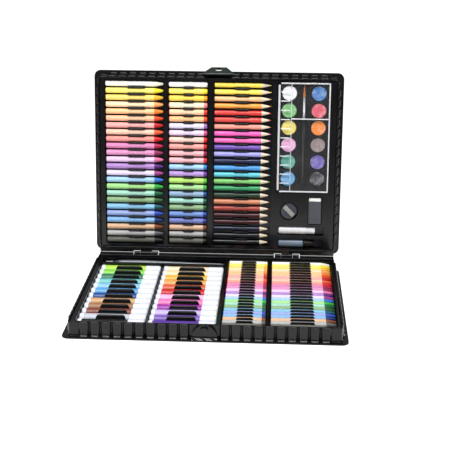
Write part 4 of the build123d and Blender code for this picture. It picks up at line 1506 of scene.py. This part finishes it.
@dataclass(frozen=True)
class Tray:
    """Lower half with its insert and contents."""

    build: Builder
    finishes: Finishes
    knob_at: tuple[float, float, float] = (0.0, -139.5, 16.0)
    crayon_x: float = 89.0
    pastel_x: float = 22.0
    marker_x: tuple[float, float] = (-176.0, -78.7)
    stick_floor: float = 11.6
    marker_floor: float = 4.5
    brush_axis: tuple[float, float] = (117.5, 15.5)
    brush_root: float = -162.0
    crimp: float = 11.0
    shaft: float = 165.0

    def _on_front(self, points: np.ndarray) -> np.ndarray:
        """Row-frame places of a turned piece whose axis stands out of the front wall."""
        return points[:, [1, 0, 2]] * (1.0, -1.0, 1.0) + self.knob_at

    def case(self) -> None:
        """Shell with its pad and hinge arms, the knob and the pins."""
        finishes = self.finishes
        shell = Shape().add(CaseHalf().surface()).add(LatchPad().surface())
        for x in HINGE.stations:
            block_low, block_high = (x - HINGE.reach, 135.2, 2.0), (x + HINGE.reach, 137.5, 22.5)
            for arm in HingeStation(x).of_tray():
                shell.add(arm)
            shell.add(rounded_box(block_low, block_high, 0.4))
        for bar in BackLedge().of_tray():
            shell.add(bar)
        self.build.piece("tray_case", shell, "tray", finishes.case, "tray_shell")
        knob = Shape(self._on_front)
        neck = ((0.0, 4.4), (2.2, 4.4), (2.45, 4.7))
        head = ((2.6, 5.1), (2.9, 5.2), (3.2, 5.1), (3.5, 4.6), (3.65, 3.6), (3.7, 2.0))
        knob.add(turned((*neck, *head), (0.0, 0.0, 0.0), 40))
        self.build.piece("knob", knob, "tray", finishes.case, "latch_knob")
        pins = Shape()
        reach = HINGE.reach
        profile = ((-reach, 1.2), (0.2 - reach, 1.48), (reach - 0.2, 1.48), (reach, 1.2))
        for x in HINGE.stations:
            pins.add(turned(profile, (x, HINGE.line_y, HINGE.line_z), 20))
        self.build.piece("hinge_pin_pair", pins, "tray", finishes.pin, "hinge_pins")

    def _marker_ridges(self, x: float) -> Ridges:
        """Ridges between the markers of one column."""
        return Ridges(x, 43.5, MARKER_ROWS, 4.5, self.marker_floor, 22.5, shoulder=7.0, round_over=1.6)

    def _stick_ridges(self, x: float, length: float) -> Ridges:
        """Ridges between the sticks of one column."""
        return Ridges(x, length, TRAY_ROWS, 2.1, self.stick_floor, 22.0, shoulder=4.0, round_over=0.8)

    def insert(self) -> None:
        """Formed insert of the tray."""
        sticks, markers = TRAY_ROWS.span(5.2), MARKER_ROWS.span(8.5)
        pockets = (
            Pocket((-177.0, -82.0), markers, self.marker_floor),
            Pocket((-79.7, 15.3), markers, self.marker_floor),
            Pocket((21.0, 83.0), sticks, self.stick_floor),
            Pocket((88.0, 180.0), sticks, self.stick_floor),
            Pocket((-177.0, 15.3), (105.5, 129.5), 11.0),
        )
        ridges = (
            self._marker_ridges(-153.0),
            self._marker_ridges(-55.7),
            self._stick_ridges(40.7, 25.0),
            self._stick_ridges(115.0, 35.0),
        )
        shape = Shape().add(Insert((0.0, 0.0), pockets, ridges).surface())
        self.build.piece("tray_formed_sheet", shape, "tray", self.finishes.insert, "tray_insert")

    def sticks(self) -> None:
        """Crayons and pastels."""
        kinds = (
            ("crayon", self.crayon_x, CRAYON, CRAYON.crayon()),
            ("pastel", self.pastel_x, PASTEL, PASTEL.pastel()),
        )
        for kind, x, stick, stretches in kinds:
            column = StickColumn(x, TRAY_ROWS, STICK_TOP, stick.radius, stretches)
            shape = column.build(Shape(), CRAYON_SLEEVES, CRAYON_WAX)
            name = f"tray_{kind}_column"
            self.build.piece(name, shape, f"tray_{kind}_row", self.finishes.wax, f"tray_{kind}s")

    def markers(self) -> None:
        """Both marker columns, each as plugs, barrels and caps."""
        sides = zip(("left", "right"), self.marker_x, (MARKERS_LEFT, MARKERS_RIGHT))
        for side, x, colours in sides:
            column = MarkerColumn(x, MARKER_ROWS, MARKER_TOP, colours)
            parts = (
                ("plugs", column.plugs, self.finishes.white),
                ("barrels", column.barrels, self.finishes.marker),
                ("caps", column.caps, self.finishes.white),
            )
            for part, make, finish in parts:
                name = f"{side}_column_{part}"
                self.build.piece(name, make(Shape()), f"{side}_markers", finish, f"{side}_marker_{part}")

    def _crimped_ferrule(self) -> Surface:
        """Ellipses that go from flat at the bristles to round at the handle, with two crimped grooves.

        Half axes: flat + (round - flat) smooth(distance / crimp) + groove.

        Returns:
            The closed surface.
        """
        steps = np.array([0.0, 0.3, 0.5, 3.0, 3.3, 3.9, 4.2, 6.5, 8.0, 8.3, 8.9, 9.2, self.crimp])
        groove = np.array([-0.2, 0.0, 0.0, 0.0, -0.25, -0.25, 0.0, 0.0, 0.0, -0.25, -0.25, 0.0, 0.0])
        share = smooth(steps / self.crimp)
        wide, thick = 5.8 + (4.1 - 5.8) * share + groove, 1.9 + (4.1 - 1.9) * share + groove
        sides = 32
        angle = np.arange(sides) * 2 * math.pi / sides
        points = np.empty((len(steps), sides, 3))
        points[..., 0] = self.brush_root + steps[:, None]
        points[..., 1] = self.brush_axis[0] + wide[:, None] * np.sin(angle)
        points[..., 2] = self.brush_axis[1] + thick[:, None] * np.cos(angle)
        flat_points, faces = grid(points, closed=True)
        ring = np.arange(sides)
        last = ring + sides * (len(steps) - 1)
        return flat_points, [*faces, ring[None, :], last[::-1][None, :]]

    def brush(self) -> None:
        """Long flat brush: tuft, crimped ferrule and swelling handle."""
        finishes, body = self.finishes, "long_brush"
        tuft = Tuft((self.brush_root, *self.brush_axis), -12.0, (5.0, 1.3), (5.3, 0.5), 260, 0.16)
        hair = tuft.build(Shape())
        self.build.piece("long_brush_tuft", hair, body, finishes.pale_hair, "long_brush_bristles")
        ferrule = Shape().add(self._crimped_ferrule())
        self.build.piece("long_brush_crimp", ferrule, body, finishes.dark, "long_brush_ferrule")
        share = np.linspace(0, 1, 33)
        radius = np.interp(share, [0, 0.06, 0.16, 0.3, 0.6, 0.97, 1.0], [3.7, 4.2, 4.45, 4.2, 2.7, 1.6, 0.9])
        start = (self.brush_root + self.crimp, *self.brush_axis)
        handle = Shape().add(turned(tuple(zip(share * self.shaft, radius)), start, 32))
        self.build.piece("long_brush_shaft", handle, body, finishes.silver_handle, "long_brush_handle")

    def dress(self) -> None:
        """Builds the whole tray."""
        self.case()
        self.insert()
        self.sticks()
        self.markers()
        self.brush()


@dataclass(frozen=True)
class Clasp:
    """Tapered tab with a round hole, in its own frame: pivot at the origin, tab along the third axis."""

    pivot: tuple[float, float] = (284.8, 14.0)
    swing: float = -159.0
    half_root: float = 21.5
    half_tip: float = 12.04
    taper: float = 6.9
    length: float = 23.0
    hole: float = 5.4
    hole_at: float = 15.3
    barrel: float = 2.2
    steps: int = 48

    def swung(self, points: np.ndarray) -> np.ndarray:
        """Lid places (x, v, w) of points in the clasp's own frame."""
        turn = math.radians(self.swing)
        moved = np.empty_like(points)
        moved[..., 0] = points[..., 0]
        moved[..., 1] = self.pivot[0] + math.cos(turn) * points[..., 1] - math.sin(turn) * points[..., 2]
        moved[..., 2] = self.pivot[1] + math.sin(turn) * points[..., 1] + math.cos(turn) * points[..., 2]
        return moved

    def _edge(self, angle: np.ndarray) -> np.ndarray:
        """Where rays from the hole's middle meet the tab's tapered outline.

        Each side is a half plane, so a ray ends at the least gap / (direction . normal).

        Args:
            angle: Directions of the rays.

        Returns:
            One place (x, z) for each ray.
        """
        root, tip, taper, end = self.half_root, self.half_tip, self.taper, self.length
        right = ((root, 0.0), (root, taper), (tip, end))
        outline = np.array([(-root, 0.0), *right, (-tip, end), (-root, taper)])
        centre = np.array([0.0, self.hole_at])
        direction = np.stack([np.cos(angle), np.sin(angle)], axis=1)
        along = np.roll(outline, -1, axis=0) - outline
        normal = np.stack([along[:, 1], -along[:, 0]], axis=1)
        facing = direction @ normal.T
        gap = np.sum((outline - centre) * normal, axis=1)
        distance = np.where(facing > 1e-9, gap / np.maximum(facing, 1e-9), 1e9)
        return centre + direction * distance.min(axis=1)[:, None]

    def plate(self) -> Surface:
        """Rings between the hole and the outline: P = hole + share (edge - hole), at a depth.

        Returns:
            The closed surface.
        """
        angle = np.linspace(math.pi / 2, -1.5 * math.pi, self.steps + 1)[:-1]
        hole = arc((0.0, self.hole_at), self.hole, 90, -270, self.steps + 1)[:-1]
        front = ((0.0, -0.6), (0.0, 0.6), (0.02, 1.0), (0.98, 1.0), (1.0, 0.7))
        back = ((1.0, -0.7), (0.98, -1.0), (0.02, -1.0), (0.0, -0.6))
        share, depth = np.array((*front, *back)).T
        ring = hole + (self._edge(angle) - hole) * share[:, None, None]
        points = np.empty((len(share), self.steps, 3))
        points[..., 0] = ring[..., 0]
        points[..., 1] = -depth[:, None]
        points[..., 2] = ring[..., 1]
        return grid(points, closed=True)

    def tab(self, shape: Shape) -> Shape:
        """Adds the plate, the lip at its tip and the barrel round the pin."""
        end, radius = self.half_root, self.barrel
        profile = ((-end, radius - 0.3), (0.3 - end, radius), (end - 0.3, radius), (end, radius - 0.3))
        shape.add(self.plate())
        shape.add(rounded_box((-12.0, 0.0, self.length - 2.0), (12.0, 3.0, self.length), 0.5))
        return shape.add(turned(profile, (0.0, 0.0, 0.0), 24))


@dataclass(frozen=True)
class Lid:
    """Upper half with its clasp, insert and sticks."""

    build: Builder
    finishes: Finishes
    place: LidFrame
    crayon_x: float = -175.0
    pastel_x: float = -76.3
    pencil_x: float = -5.0
    stick_floor: float = 11.6
    pencil_floor: float = 12.1

    def _half(self, points: np.ndarray) -> np.ndarray:
        """Row-frame places of points in a case half's own frame."""
        return self.place(points * (-1.0, -1.0, 1.0) + (0.0, HINGE.line_y, 0.0))

    def case(self) -> None:
        """Shell with knuckles and clasp lugs, and its stop heels."""
        shell = Shape(self._half).add(CaseHalf().surface())
        for x in HINGE.stations:
            for arm in HingeStation(x).of_lid():
                shell.add(arm)
        for bar in BackLedge().of_lid():
            shell.add(bar)
        nose = arc((-140.3, 14.0), 2.5, 90, 270, 12)
        lug = np.concatenate([nose, [(-135.0, 11.5), (-135.0, 16.5)]])
        for low, high in ((-25.8, -21.8), (21.8, 25.8)):
            shell.add(extruded(lug, low, high))
        self.build.piece("lid_case", shell, "lid", self.finishes.case, "lid_shell")
        heels = Shape()
        heel = np.array([(137.5, 17.05), (144.0, 20.05), (144.0, 22.05), (137.5, 22.05)])
        for x in HINGE.stations:
            heels.add(extruded(heel, x - HINGE.inner, x + HINGE.inner))
        self.build.piece("lid_stop_heels", heels, "lid", self.finishes.case, bevel=0.3)

    def clasp(self) -> None:
        """Clasp, swung back, and its pin."""
        clasp = Clasp()

        def swung(points: np.ndarray) -> np.ndarray:
            """Row-frame places of points in the clasp's own frame."""
            return self.place(clasp.swung(points))

        tab = clasp.tab(Shape(swung))
        self.build.piece("clasp_tab", tab, "clasp", self.finishes.clasp, "latch_clasp")
        profile = ((-21.8, 0.7), (-21.6, 1.0), (21.6, 1.0), (21.8, 0.7))
        pin = Shape(self.place).add(turned(profile, (0.0, *clasp.pivot), 16))
        self.build.piece("clasp_pin_rod", pin, "lid", self.finishes.pin, "clasp_pin")

    def _ridges(self, x: float, length: float, low: float, top: float) -> Ridges:
        """Ridges between the sticks of one column."""
        return Ridges(x, length, LID_ROWS, 2.1, low, top, shoulder=3.5, round_over=0.8)

    def insert(self) -> None:
        """Formed insert of the lid."""
        sticks, pencils = LID_ROWS.span(5.2), LID_ROWS.span(4.75)
        pockets = (
            Pocket((-176.0, -84.0), sticks, self.stick_floor),
            Pocket((-77.3, -15.3), sticks, self.stick_floor),
            Pocket((-6.0, 84.0), pencils, self.pencil_floor),
            Pocket((92.6, 174.6), (101.8, 274.4), 8.25),
            RoundPocket((113.6, 72.0), 13.35, 6.5),
            Pocket((143.7, 164.9), (51.4, 94.6), 8.5),
            Pocket((97.4, 169.0), (33.9, 48.1), 6.9),
            Pocket((97.4, 169.0), (12.9, 27.1), 6.9),
        )
        ridges = (
            self._ridges(-141.5, 29.0, self.stick_floor, 21.0),
            self._ridges(-54.5, 18.0, self.stick_floor, 21.0),
            self._ridges(25.0, 25.0, self.pencil_floor, 20.6),
        )
        shape = Shape(self.place).add(Insert((0.0, 144.0), pockets, ridges).surface())
        self.build.piece("lid_formed_sheet", shape, "lid", self.finishes.insert, "lid_insert")

    def sticks(self) -> None:
        """Crayons, pastels and pencils."""
        wax, lacquer = self.finishes.wax, self.finishes.pencil
        kinds = (
            ("crayon", self.crayon_x, STICK_TOP, CRAYON, CRAYON.crayon(), CRAYON_SLEEVES, CRAYON_WAX, wax),
            ("pastel", self.pastel_x, STICK_TOP, PASTEL, PASTEL.pastel(), PASTEL_SLEEVES, PASTEL_WAX, wax),
            ("pencil", self.pencil_x, PENCIL_TOP, PENCIL, PENCIL.pencil(), PENCILS, PENCILS, lacquer),
        )
        for kind, x, top, stick, stretches, colours, seconds, finish in kinds:
            column = StickColumn(x, LID_ROWS, top, stick.radius, stretches)
            shape = column.build(Shape(self.place), colours, seconds)
            self.build.piece(f"lid_{kind}_column", shape, f"lid_{kind}_row", finish, f"lid_{kind}s")

    def dress(self) -> None:
        """Builds the lid but for its tools and the palette."""
        self.case()
        self.clasp()
        self.insert()
        self.sticks()


@dataclass(frozen=True)
class Sharpener:
    """Round pencil sharpener: knurled body with a slot, slanted blade and its screw."""

    build: Builder
    finishes: Finishes
    place: LidFrame
    centre: tuple[float, float] = (113.6, 72.0)
    floor: float = 6.5
    slant: float = -45.0
    radius: float = 12.6
    slot: float = 9.5
    slot_floor: float = 10.4
    high: float = 13.0
    blade: tuple[float, float] = (21.0, 7.5)
    blade_w: tuple[float, float] = (10.45, 11.2)

    def _slanted(self, points: np.ndarray) -> np.ndarray:
        """Row-frame places of points in its own frame: blade along X, underside at 0."""
        turn = math.radians(self.slant)
        moved = points.copy()
        moved[..., 0] = math.cos(turn) * points[..., 0] - math.sin(turn) * points[..., 1] + self.centre[0]
        moved[..., 1] = math.sin(turn) * points[..., 0] + math.cos(turn) * points[..., 1] + self.centre[1]
        moved[..., 2] = points[..., 2] + self.floor
        return self.place(moved)

    def body(self) -> Shape:
        """Knurled drum up to the slot's floor, with a cheek on each side of the slot.

        Returns:
            The shape.
        """
        shape = Shape(self._slanted)
        wide, floor = self.radius + 0.15, self.slot_floor
        drum = ((0.0, wide - 0.55), (0.2, wide - 0.2), (0.6, wide), (floor - 0.3, wide), (floor, self.radius))
        shape.add(upright(drum, (0.0, 0.0, 0.0), 288, wave=knurls(0.018, 24, 0.7)))
        half = math.degrees(math.asin(self.slot / 2 / self.radius))
        for side in (0, 180):
            cheek = arc((0.0, 0.0), self.radius, side + half, side + 180 - half, 40)
            shape.add(extruded(cheek, floor, self.high, axis=2))
        return shape

    def dress(self) -> None:
        """Builds body, blade and screw."""
        body, dark, steel = "pencil_sharpener", self.finishes.dark, self.finishes.steel
        self.build.piece("sharpener_disc", self.body(), body, dark, "sharpener_body", bevel=0.35)
        x, y = self.blade[0] / 2, self.blade[1] / 2
        outline = [(-x, -y), (x, -y), (x, y - 1.15), (x - 0.6, y), (0.6 - x, y), (-x, y - 1.15)]
        blade = Shape(self._slanted).add(extruded(np.array(outline), *self.blade_w, axis=2))
        self.build.piece("blade", blade, body, steel, "sharpener_blade", bevel=0.25)
        head = ((11.2, 1.8), (11.9, 1.8), (12.2, 1.6), (12.38, 1.2), (12.4, 0.6))
        screw = Shape(self._slanted).add(upright(head, (0.0, 0.0, 0.0), 28))
        self.build.piece("screw_head", screw, body, steel, "sharpener_screw")


@dataclass(frozen=True)
class Eraser:
    """Rubber block in an open-ended card sleeve."""

    build: Builder
    finishes: Finishes
    place: LidFrame
    block_low: tuple[float, float, float] = (144.8, 52.0, 9.0)
    block_high: tuple[float, float, float] = (163.8, 94.0, 19.0)
    low: tuple[float, float] = (144.3, 8.5)
    high: tuple[float, float] = (164.3, 19.5)
    ends: tuple[float, float] = (52.2, 88.4)
    fold: float = 0.7

    def sleeve(self) -> Surface:
        """Outer and inner rounded rectangles (x, w), carried along V and joined at the far end.

        Returns:
            The surface.
        """
        (x0, w0), (x1, w1), r = self.low, self.high, self.fold
        corners = ((x0 + r, w0 + r), (x1 - r, w0 + r), (x1 - r, w1 - r), (x0 + r, w1 - r))
        folds = [arc(corner, r, start, start + 90, 5) for corner, start in zip(corners, (180, 270, 0, 90))]
        outline = np.concatenate(folds)
        middle = np.array([(x0 + x1) / 2, (w0 + w1) / 2])
        inner = middle + (outline - middle) * (0.952, 0.91)
        rings = np.stack([outline, outline, inner, inner])
        points = np.empty((len(rings), len(outline), 3))
        points[..., 0], points[..., 2] = rings[..., 0], rings[..., 1]
        points[..., 1] = np.array([*self.ends, *self.ends[::-1]])[:, None]
        return grid(points, closed=True)

    def dress(self) -> None:
        """Builds block and sleeve."""
        block = Shape(self.place).add(rounded_box(self.block_low, self.block_high, 1.0))
        self.build.piece("eraser_bar", block, "eraser", self.finishes.rubber, "eraser_block")
        sleeve = Shape(self.place).add(self.sleeve())
        self.build.piece("eraser_card", sleeve, "eraser", self.finishes.card, "eraser_sleeve")


@dataclass(frozen=True)
class Tube:
    """Round tube and its ribbed cap, which hides the tube's neck."""

    build: Builder
    place: LidFrame
    name: str
    v: float
    body: float
    cap: float
    cap_radius: float
    body_finish: Finish
    cap_finish: Finish
    x: float = 98.0
    w: float = 13.5
    radius: float = 6.5
    neck: float = 3.48
    white: Colour = tint("EEF0F5")

    def dress(self) -> None:
        """Builds tube and cap."""
        start, r, end = (self.x, self.v, self.w), self.radius, self.body
        back = ((0.0, r - 1.5), (0.2, r - 0.8), (0.8, r - 0.2), (1.6, r))
        shoulder = ((end - 1.2, r), (end - 0.5, r - 0.15), (end, r - 0.8))
        neck = ((end + 0.02, self.neck), (end + 9.0, self.neck))
        tube = Shape(self.place).add(turned((*back, *shoulder, *neck), start, 40), self.white)
        body = f"{self.name}_tube"
        self.build.piece(f"{body}_barrel", tube, body, self.body_finish, f"{body}_body")
        r, low, high = self.cap_radius, end + 0.05, end + self.cap
        mouth = ((low, self.neck + 0.12), (low + 0.02, r - 0.3), (low + 0.3, r))
        top = ((high - 0.9, r), (high - 0.3, r - 0.35), (high, r - 1.0))
        outside = turned((*mouth, *top), start, 96, (False, True), wave=knurls(0.03, 12, 0.8))
        cap = Shape(self.place).add(outside, self.white)
        self.build.piece(f"{body}_stopper", cap, f"{self.name}_cap", self.cap_finish, f"{body}_cap")


@dataclass(frozen=True)
class Palette:
    """Watercolour palette: base with wells, cakes, clear cover and a brush."""

    build: Builder
    finishes: Finishes
    place: LidFrame
    left: float = 93.2
    right: float = 174.0
    top: float = 273.8
    high: float = 171.4
    low_w: float = 8.3
    base_w: float = 16.5
    cover_w: float = 20.3
    well_off: float = 22.9
    well_first: float = 16.8
    well_pitch: float = 26.7
    well_radius: float = 11.8
    well_floor: float = 9.8
    hinge: tuple[float, float] = (95.1, 18.4)
    knuckle: float = 3.0
    brush_x: float = 133.6
    brush_w: float = 13.45
    brush_end: float = 148.0
    rim: float = 2.2

    @property
    def middle(self) -> float:
        """Middle of the palette along X."""
        return (self.left + self.right) / 2

    @property
    def low(self) -> float:
        """Lower end of the palette."""
        return self.top - self.high

    def _wells(self, side: int) -> list[tuple[float, float]]:
        """Centres of one column of wells."""
        x = self.middle + side * self.well_off
        return [(x, self.top - self.well_first - self.well_pitch * row) for row in range(6)]

    def _up_from(self, start: Sequence[float]) -> Place:
        """Frame of a turned piece whose axis runs up the lid from a place (x, v, w)."""

        def along(points: np.ndarray) -> np.ndarray:
            """Row-frame places of points."""
            return self.place(points[:, [1, 0, 2]] * (-1.0, 1.0, 1.0) + start)

        return along

    def base(self) -> None:
        """Base plate with round wells, the brush channel and the cover's two knuckles."""
        centres = [*self._wells(-1), *self._wells(1)]
        wells = tuple(RoundPocket(centre, self.well_radius, self.well_floor, 0.8) for centre in centres)
        channel_x = (self.brush_x - 6.0, self.brush_x + 6.0)
        channel = Pocket(channel_x, (self.low + 10.7, self.top - 1.2), 10.4, 4.0)
        half = ((self.right - self.left) / 2 - 0.1, self.high / 2 - 0.1)
        middle = (self.middle, self.low + self.high / 2)
        sheet = Insert(middle, (*wells, channel), (), half, self.base_w - 0.05, self.low_w + 0.02)
        shape = Shape(self.place).add(sheet.surface())
        x, w = self.hinge
        knuckle = np.concatenate([arc((w, x), 1.9, -90, 90, 12), [(9.5, x + 1.9), (9.5, x - 1.9)]])
        for v in (self.low, self.top - self.knuckle):
            shape.add(extruded(knuckle, v, v + self.knuckle, axis=1))
        self.build.piece("palette_tray", shape, "palette", self.finishes.palette, "palette_base")

    def cakes(self) -> None:
        """Two columns of cakes with a slightly dished top."""
        side_wall = ((9.82, 11.3), (10.0, 11.5), (14.0, 11.5), (14.5, 11.3), (14.78, 10.8))
        profile = (*side_wall, (14.8, 10.2), (14.66, 9.0), (14.5, 6.0), (14.42, 3.0))
        for side, name, colours in ((-1, "left", CAKES_LEFT), (1, "right", CAKES_RIGHT)):
            shape = Shape(self.place)
            for centre, colour in zip(self._wells(side), colours):
                shape.add(upright(profile, (*centre, 0.0), 56), colour)
            piece, node = f"cakes_{name}_column", f"paint_cakes_{name}"
            self.build.piece(piece, shape, "palette", self.finishes.cakes, node, crease=60.0)

    def brush(self) -> None:
        """Small round brush, tip up."""
        finishes, body = self.finishes, "palette"
        along = self._up_from((self.brush_x, self.top - self.brush_end, self.brush_w))
        share = np.linspace(0, 1, 25)
        radius = np.interp(share, [0, 0.5, 0.85, 1.0], [1.3, 2.4, 2.95, 2.4])
        handle = Shape(along).add(turned(tuple(zip(share * 92.0, radius)), (0.0, 0.0, 0.0), 24))
        self.build.piece("palette_brush_shaft", handle, body, finishes.handle, "palette_brush_handle")
        sleeve = [(92.0, 2.4), (92.2, 2.55)]
        for at, r in ((97.0, 2.5), (100.0, 2.45)):
            sleeve += [(at, r), (at + 0.3, r - 0.2), (at + 0.9, r - 0.2), (at + 1.2, r - 0.02)]
        ferrule = Shape(along).add(turned([*sleeve, (126.0, 2.15)], (0.0, 0.0, 0.0), 28))
        self.build.piece("palette_brush_sleeve", ferrule, body, finishes.ferrule, "palette_brush_ferrule")
        tuft = Tuft((126.0, 0.0, 0.0), 20.0, (2.0, 2.0), (0.35, 0.35), 220, 0.15).build(Shape(along))
        self.build.piece("palette_brush_tuft", tuft, body, finishes.hair, "palette_brush_bristles")

    def _bars(self, left: float) -> list[tuple[float, float, float, float, Zone]]:
        """Frame and dividing ribs of the cover.

        Args:
            left: Where the cover's plate starts.

        Returns:
            Each bar as x0, x1, v0, v1 and the zone that paints it, which sets how strongly the clear finish
            paints its highlight.
        """
        low, top, right, rim = self.low, self.top, self.right, self.rim
        strip, level = self.left + 21.0, self.top - 56.0
        cell = self.high / 12
        frame = [
            (right - rim, right, low, top, Zone.CORE),
            (left, right, low, low + rim, Zone.CORE),
            (left, right, top - rim, top, Zone.CORE),
            (strip - 0.75, strip + 0.75, low, top, Zone.END),
            (strip, right, level - 0.9, level + 0.9, Zone.CORE),
        ]
        middles = [low + cell * at for at in range(1, 12)]
        return [*frame, *((left, strip - 2.0, v - 0.8, v + 0.8, Zone.CORE) for v in middles)]

    def cover(self) -> None:
        """Clear cover: plate, rounded frame and dividing ribs, with its barrel."""
        left, plate_w = self.hinge[0] + 2.5, 17.7
        shape = Shape(self.place)
        plate_low, plate_high = (left, self.low, self.base_w + 0.02), (self.right, self.top, plate_w)
        shape.add(rounded_box(plate_low, plate_high, 0.3))
        # Each bar's zone sets the strength of its painted highlight in the clear finish.
        for x0, x1, v0, v1, zone in self._bars(left):
            bar = rounded_box((x0, v0, plate_w - 0.1), (x1, v1, self.cover_w), 0.7)
            shape.add(bar, zone=zone)
        barrel = Shape(self._up_from((self.hinge[0], 0.0, self.hinge[1])))
        low, high = self.low + self.knuckle + 0.3, self.top - self.knuckle - 0.3
        profile = ((low, 1.5), (low + 0.2, 1.68), (high - 0.2, 1.68), (high, 1.5))
        barrel.add(turned(profile, (0.0, 0.0, 0.0), 20), zone=Zone.CORE)
        self.build.piece("palette_clear_cover", shape, "palette_lid", self.finishes.clear, "palette_cover")
        self.build.piece("palette_cover_barrel", barrel, "palette_lid", self.finishes.clear)

    def dress(self) -> None:
        """Builds the palette."""
        self.base()
        self.cakes()
        self.brush()
        self.cover()


@dataclass(frozen=True)
class Lamp:
    """Rectangular soft light that looks at a point."""

    name: str
    place: tuple[float, float, float]
    aim: tuple[float, float, float]
    size: tuple[float, float]
    power: float

    def hang(self) -> None:
        """Adds the light to the scene."""
        data = bpy.data.lights.new(self.name, "AREA")
        data.shape = "RECTANGLE"
        data.size, data.size_y = self.size[0] * MM, self.size[1] * MM
        data.energy = self.power
        lamp = bpy.data.objects.new(self.name, data)
        bpy.context.scene.collection.objects.link(lamp)
        lamp.location = Vector(self.place) * MM
        lamp.rotation_euler = (Vector(self.aim) - Vector(self.place)).to_track_quat("-Z", "Y").to_euler()


@dataclass(frozen=True)
class Studio:
    """Pale floor, soft lights and the photograph's camera."""

    eye: tuple[float, float, float] = (91.79, -1473.52, 603.88)
    yaw: float = -2.771
    pitch: float = 18.168
    roll: float = 0.326
    lens: float = 86.4
    table_fall: tuple[float, float] = (-0.86, -0.7)
    table_reach: float = 14000.0
    table_z: float = -0.3
    surroundings: float = 0.22
    lamps: tuple[Lamp, ...] = (
        Lamp("overhead", (0.0, -150.0, 1350.0), (0.0, 60.0, 60.0), (1500.0, 650.0), 11.0),
        Lamp("strip", (0.0, -620.0, 1300.0), (0.0, 40.0, 80.0), (1500.0, 110.0), 13.0),
        Lamp("front_high", (-500.0, -1500.0, 1500.0), (0.0, 0.0, 120.0), (1000.0, 700.0), 4.0),
    )

    def floor(self) -> None:
        """White table just under the object, which glows as painted light and turns to grey in front of it as
        painted light falloff.
        """
        wide, low = self.table_reach, self.table_z
        corners = np.array([(-wide, -wide, low), (wide, -wide, low), (wide, wide, low), (-wide, wide, low)])
        mesh = bpy.data.meshes.new("floor")
        mesh.from_pydata((corners * MM).tolist(), [], [(0, 1, 2, 3)])
        floor = bpy.data.objects.new("floor", mesh)
        bpy.context.scene.collection.objects.link(floor)
        paint = Paint("floor_white", Roughness=0.7, Specular_IOR_Level=0.1, Emission_Strength=1.0)
        apart = paint.node("ShaderNodeSeparateXYZ", {}, {0: paint.place()})
        # Painted light: the floor's emission glows white near the set and fades to grey in front, standing in
        # for the lamps' falloff.
        lit = Value(paint, apart.outputs["Y"]).between(*self.table_fall)
        paint.set("Emission Color", paint.mix(lit, rgba((0.26, 0.26, 0.27)), rgba((1.0, 1.0, 1.0))))
        paint.set("Base Color", paint.mix(paint.noise(3.0), rgba((0.5, 0.5, 0.5)), rgba((0.54, 0.54, 0.54))))
        mesh.materials.append(paint.material)

    def world(self) -> None:
        """Even white surroundings."""
        world = bpy.data.worlds.new("surroundings")
        world.use_nodes = True
        back = next(node for node in world.node_tree.nodes if node.type == "BACKGROUND")
        back.inputs["Color"].default_value = (1.0, 1.0, 1.0, 1.0)
        back.inputs["Strength"].default_value = self.surroundings
        bpy.context.scene.world = world

    def camera(self) -> None:
        """Camera at the photograph's angle."""
        yaw, pitch, roll = (math.radians(angle) for angle in (self.yaw, self.pitch, self.roll))
        forward = Vector((math.sin(yaw) * math.cos(pitch), math.cos(yaw) * math.cos(pitch), -math.sin(pitch)))
        right = Vector((math.cos(yaw), -math.sin(yaw), 0.0))
        up = right.cross(forward)
        across = right * math.cos(roll) + up * math.sin(roll)
        above = up * math.cos(roll) - right * math.sin(roll)
        data = bpy.data.cameras.new("camera")
        data.lens, data.sensor_width = self.lens, 36.0
        data.dof.use_dof = False
        data.clip_end = 50.0
        camera = bpy.data.objects.new("camera", data)
        bpy.context.scene.collection.objects.link(camera)
        turn = Matrix((across, above, -forward)).transposed()
        camera.matrix_world = Matrix.Translation(Vector(self.eye) * MM) @ turn.to_4x4()
        bpy.context.scene.camera = camera

    def dress(self) -> None:
        """Sets up the whole studio."""
        self.floor()
        self.world()
        for lamp in self.lamps:
            lamp.hang()
        self.camera()
        bpy.context.scene.view_settings.view_transform = "Standard"


def main() -> None:
    """Builds the set in order."""
    logging.basicConfig(level=logging.INFO, format="%(name)s: %(message)s")
    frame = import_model()
    place = LidFrame.from_joints(frame["joints"])
    build = Builder()
    finishes = Finishes.make()
    Tray(build, finishes).dress()
    Lid(build, finishes, place).dress()
    Sharpener(build, finishes, place).dress()
    Eraser(build, finishes, place).dress()
    white, grey, black = finishes.white, finishes.grey, finishes.case
    Tube(build, place, "white", 41.0, 44.0, 13.5, 5.75, white, white).dress()
    Tube(build, place, "grey", 20.0, 39.0, 18.0, 6.0, grey, black).dress()
    Palette(build, finishes, place).dress()
    Studio().dress()


if __name__ == "__main__":
    main()
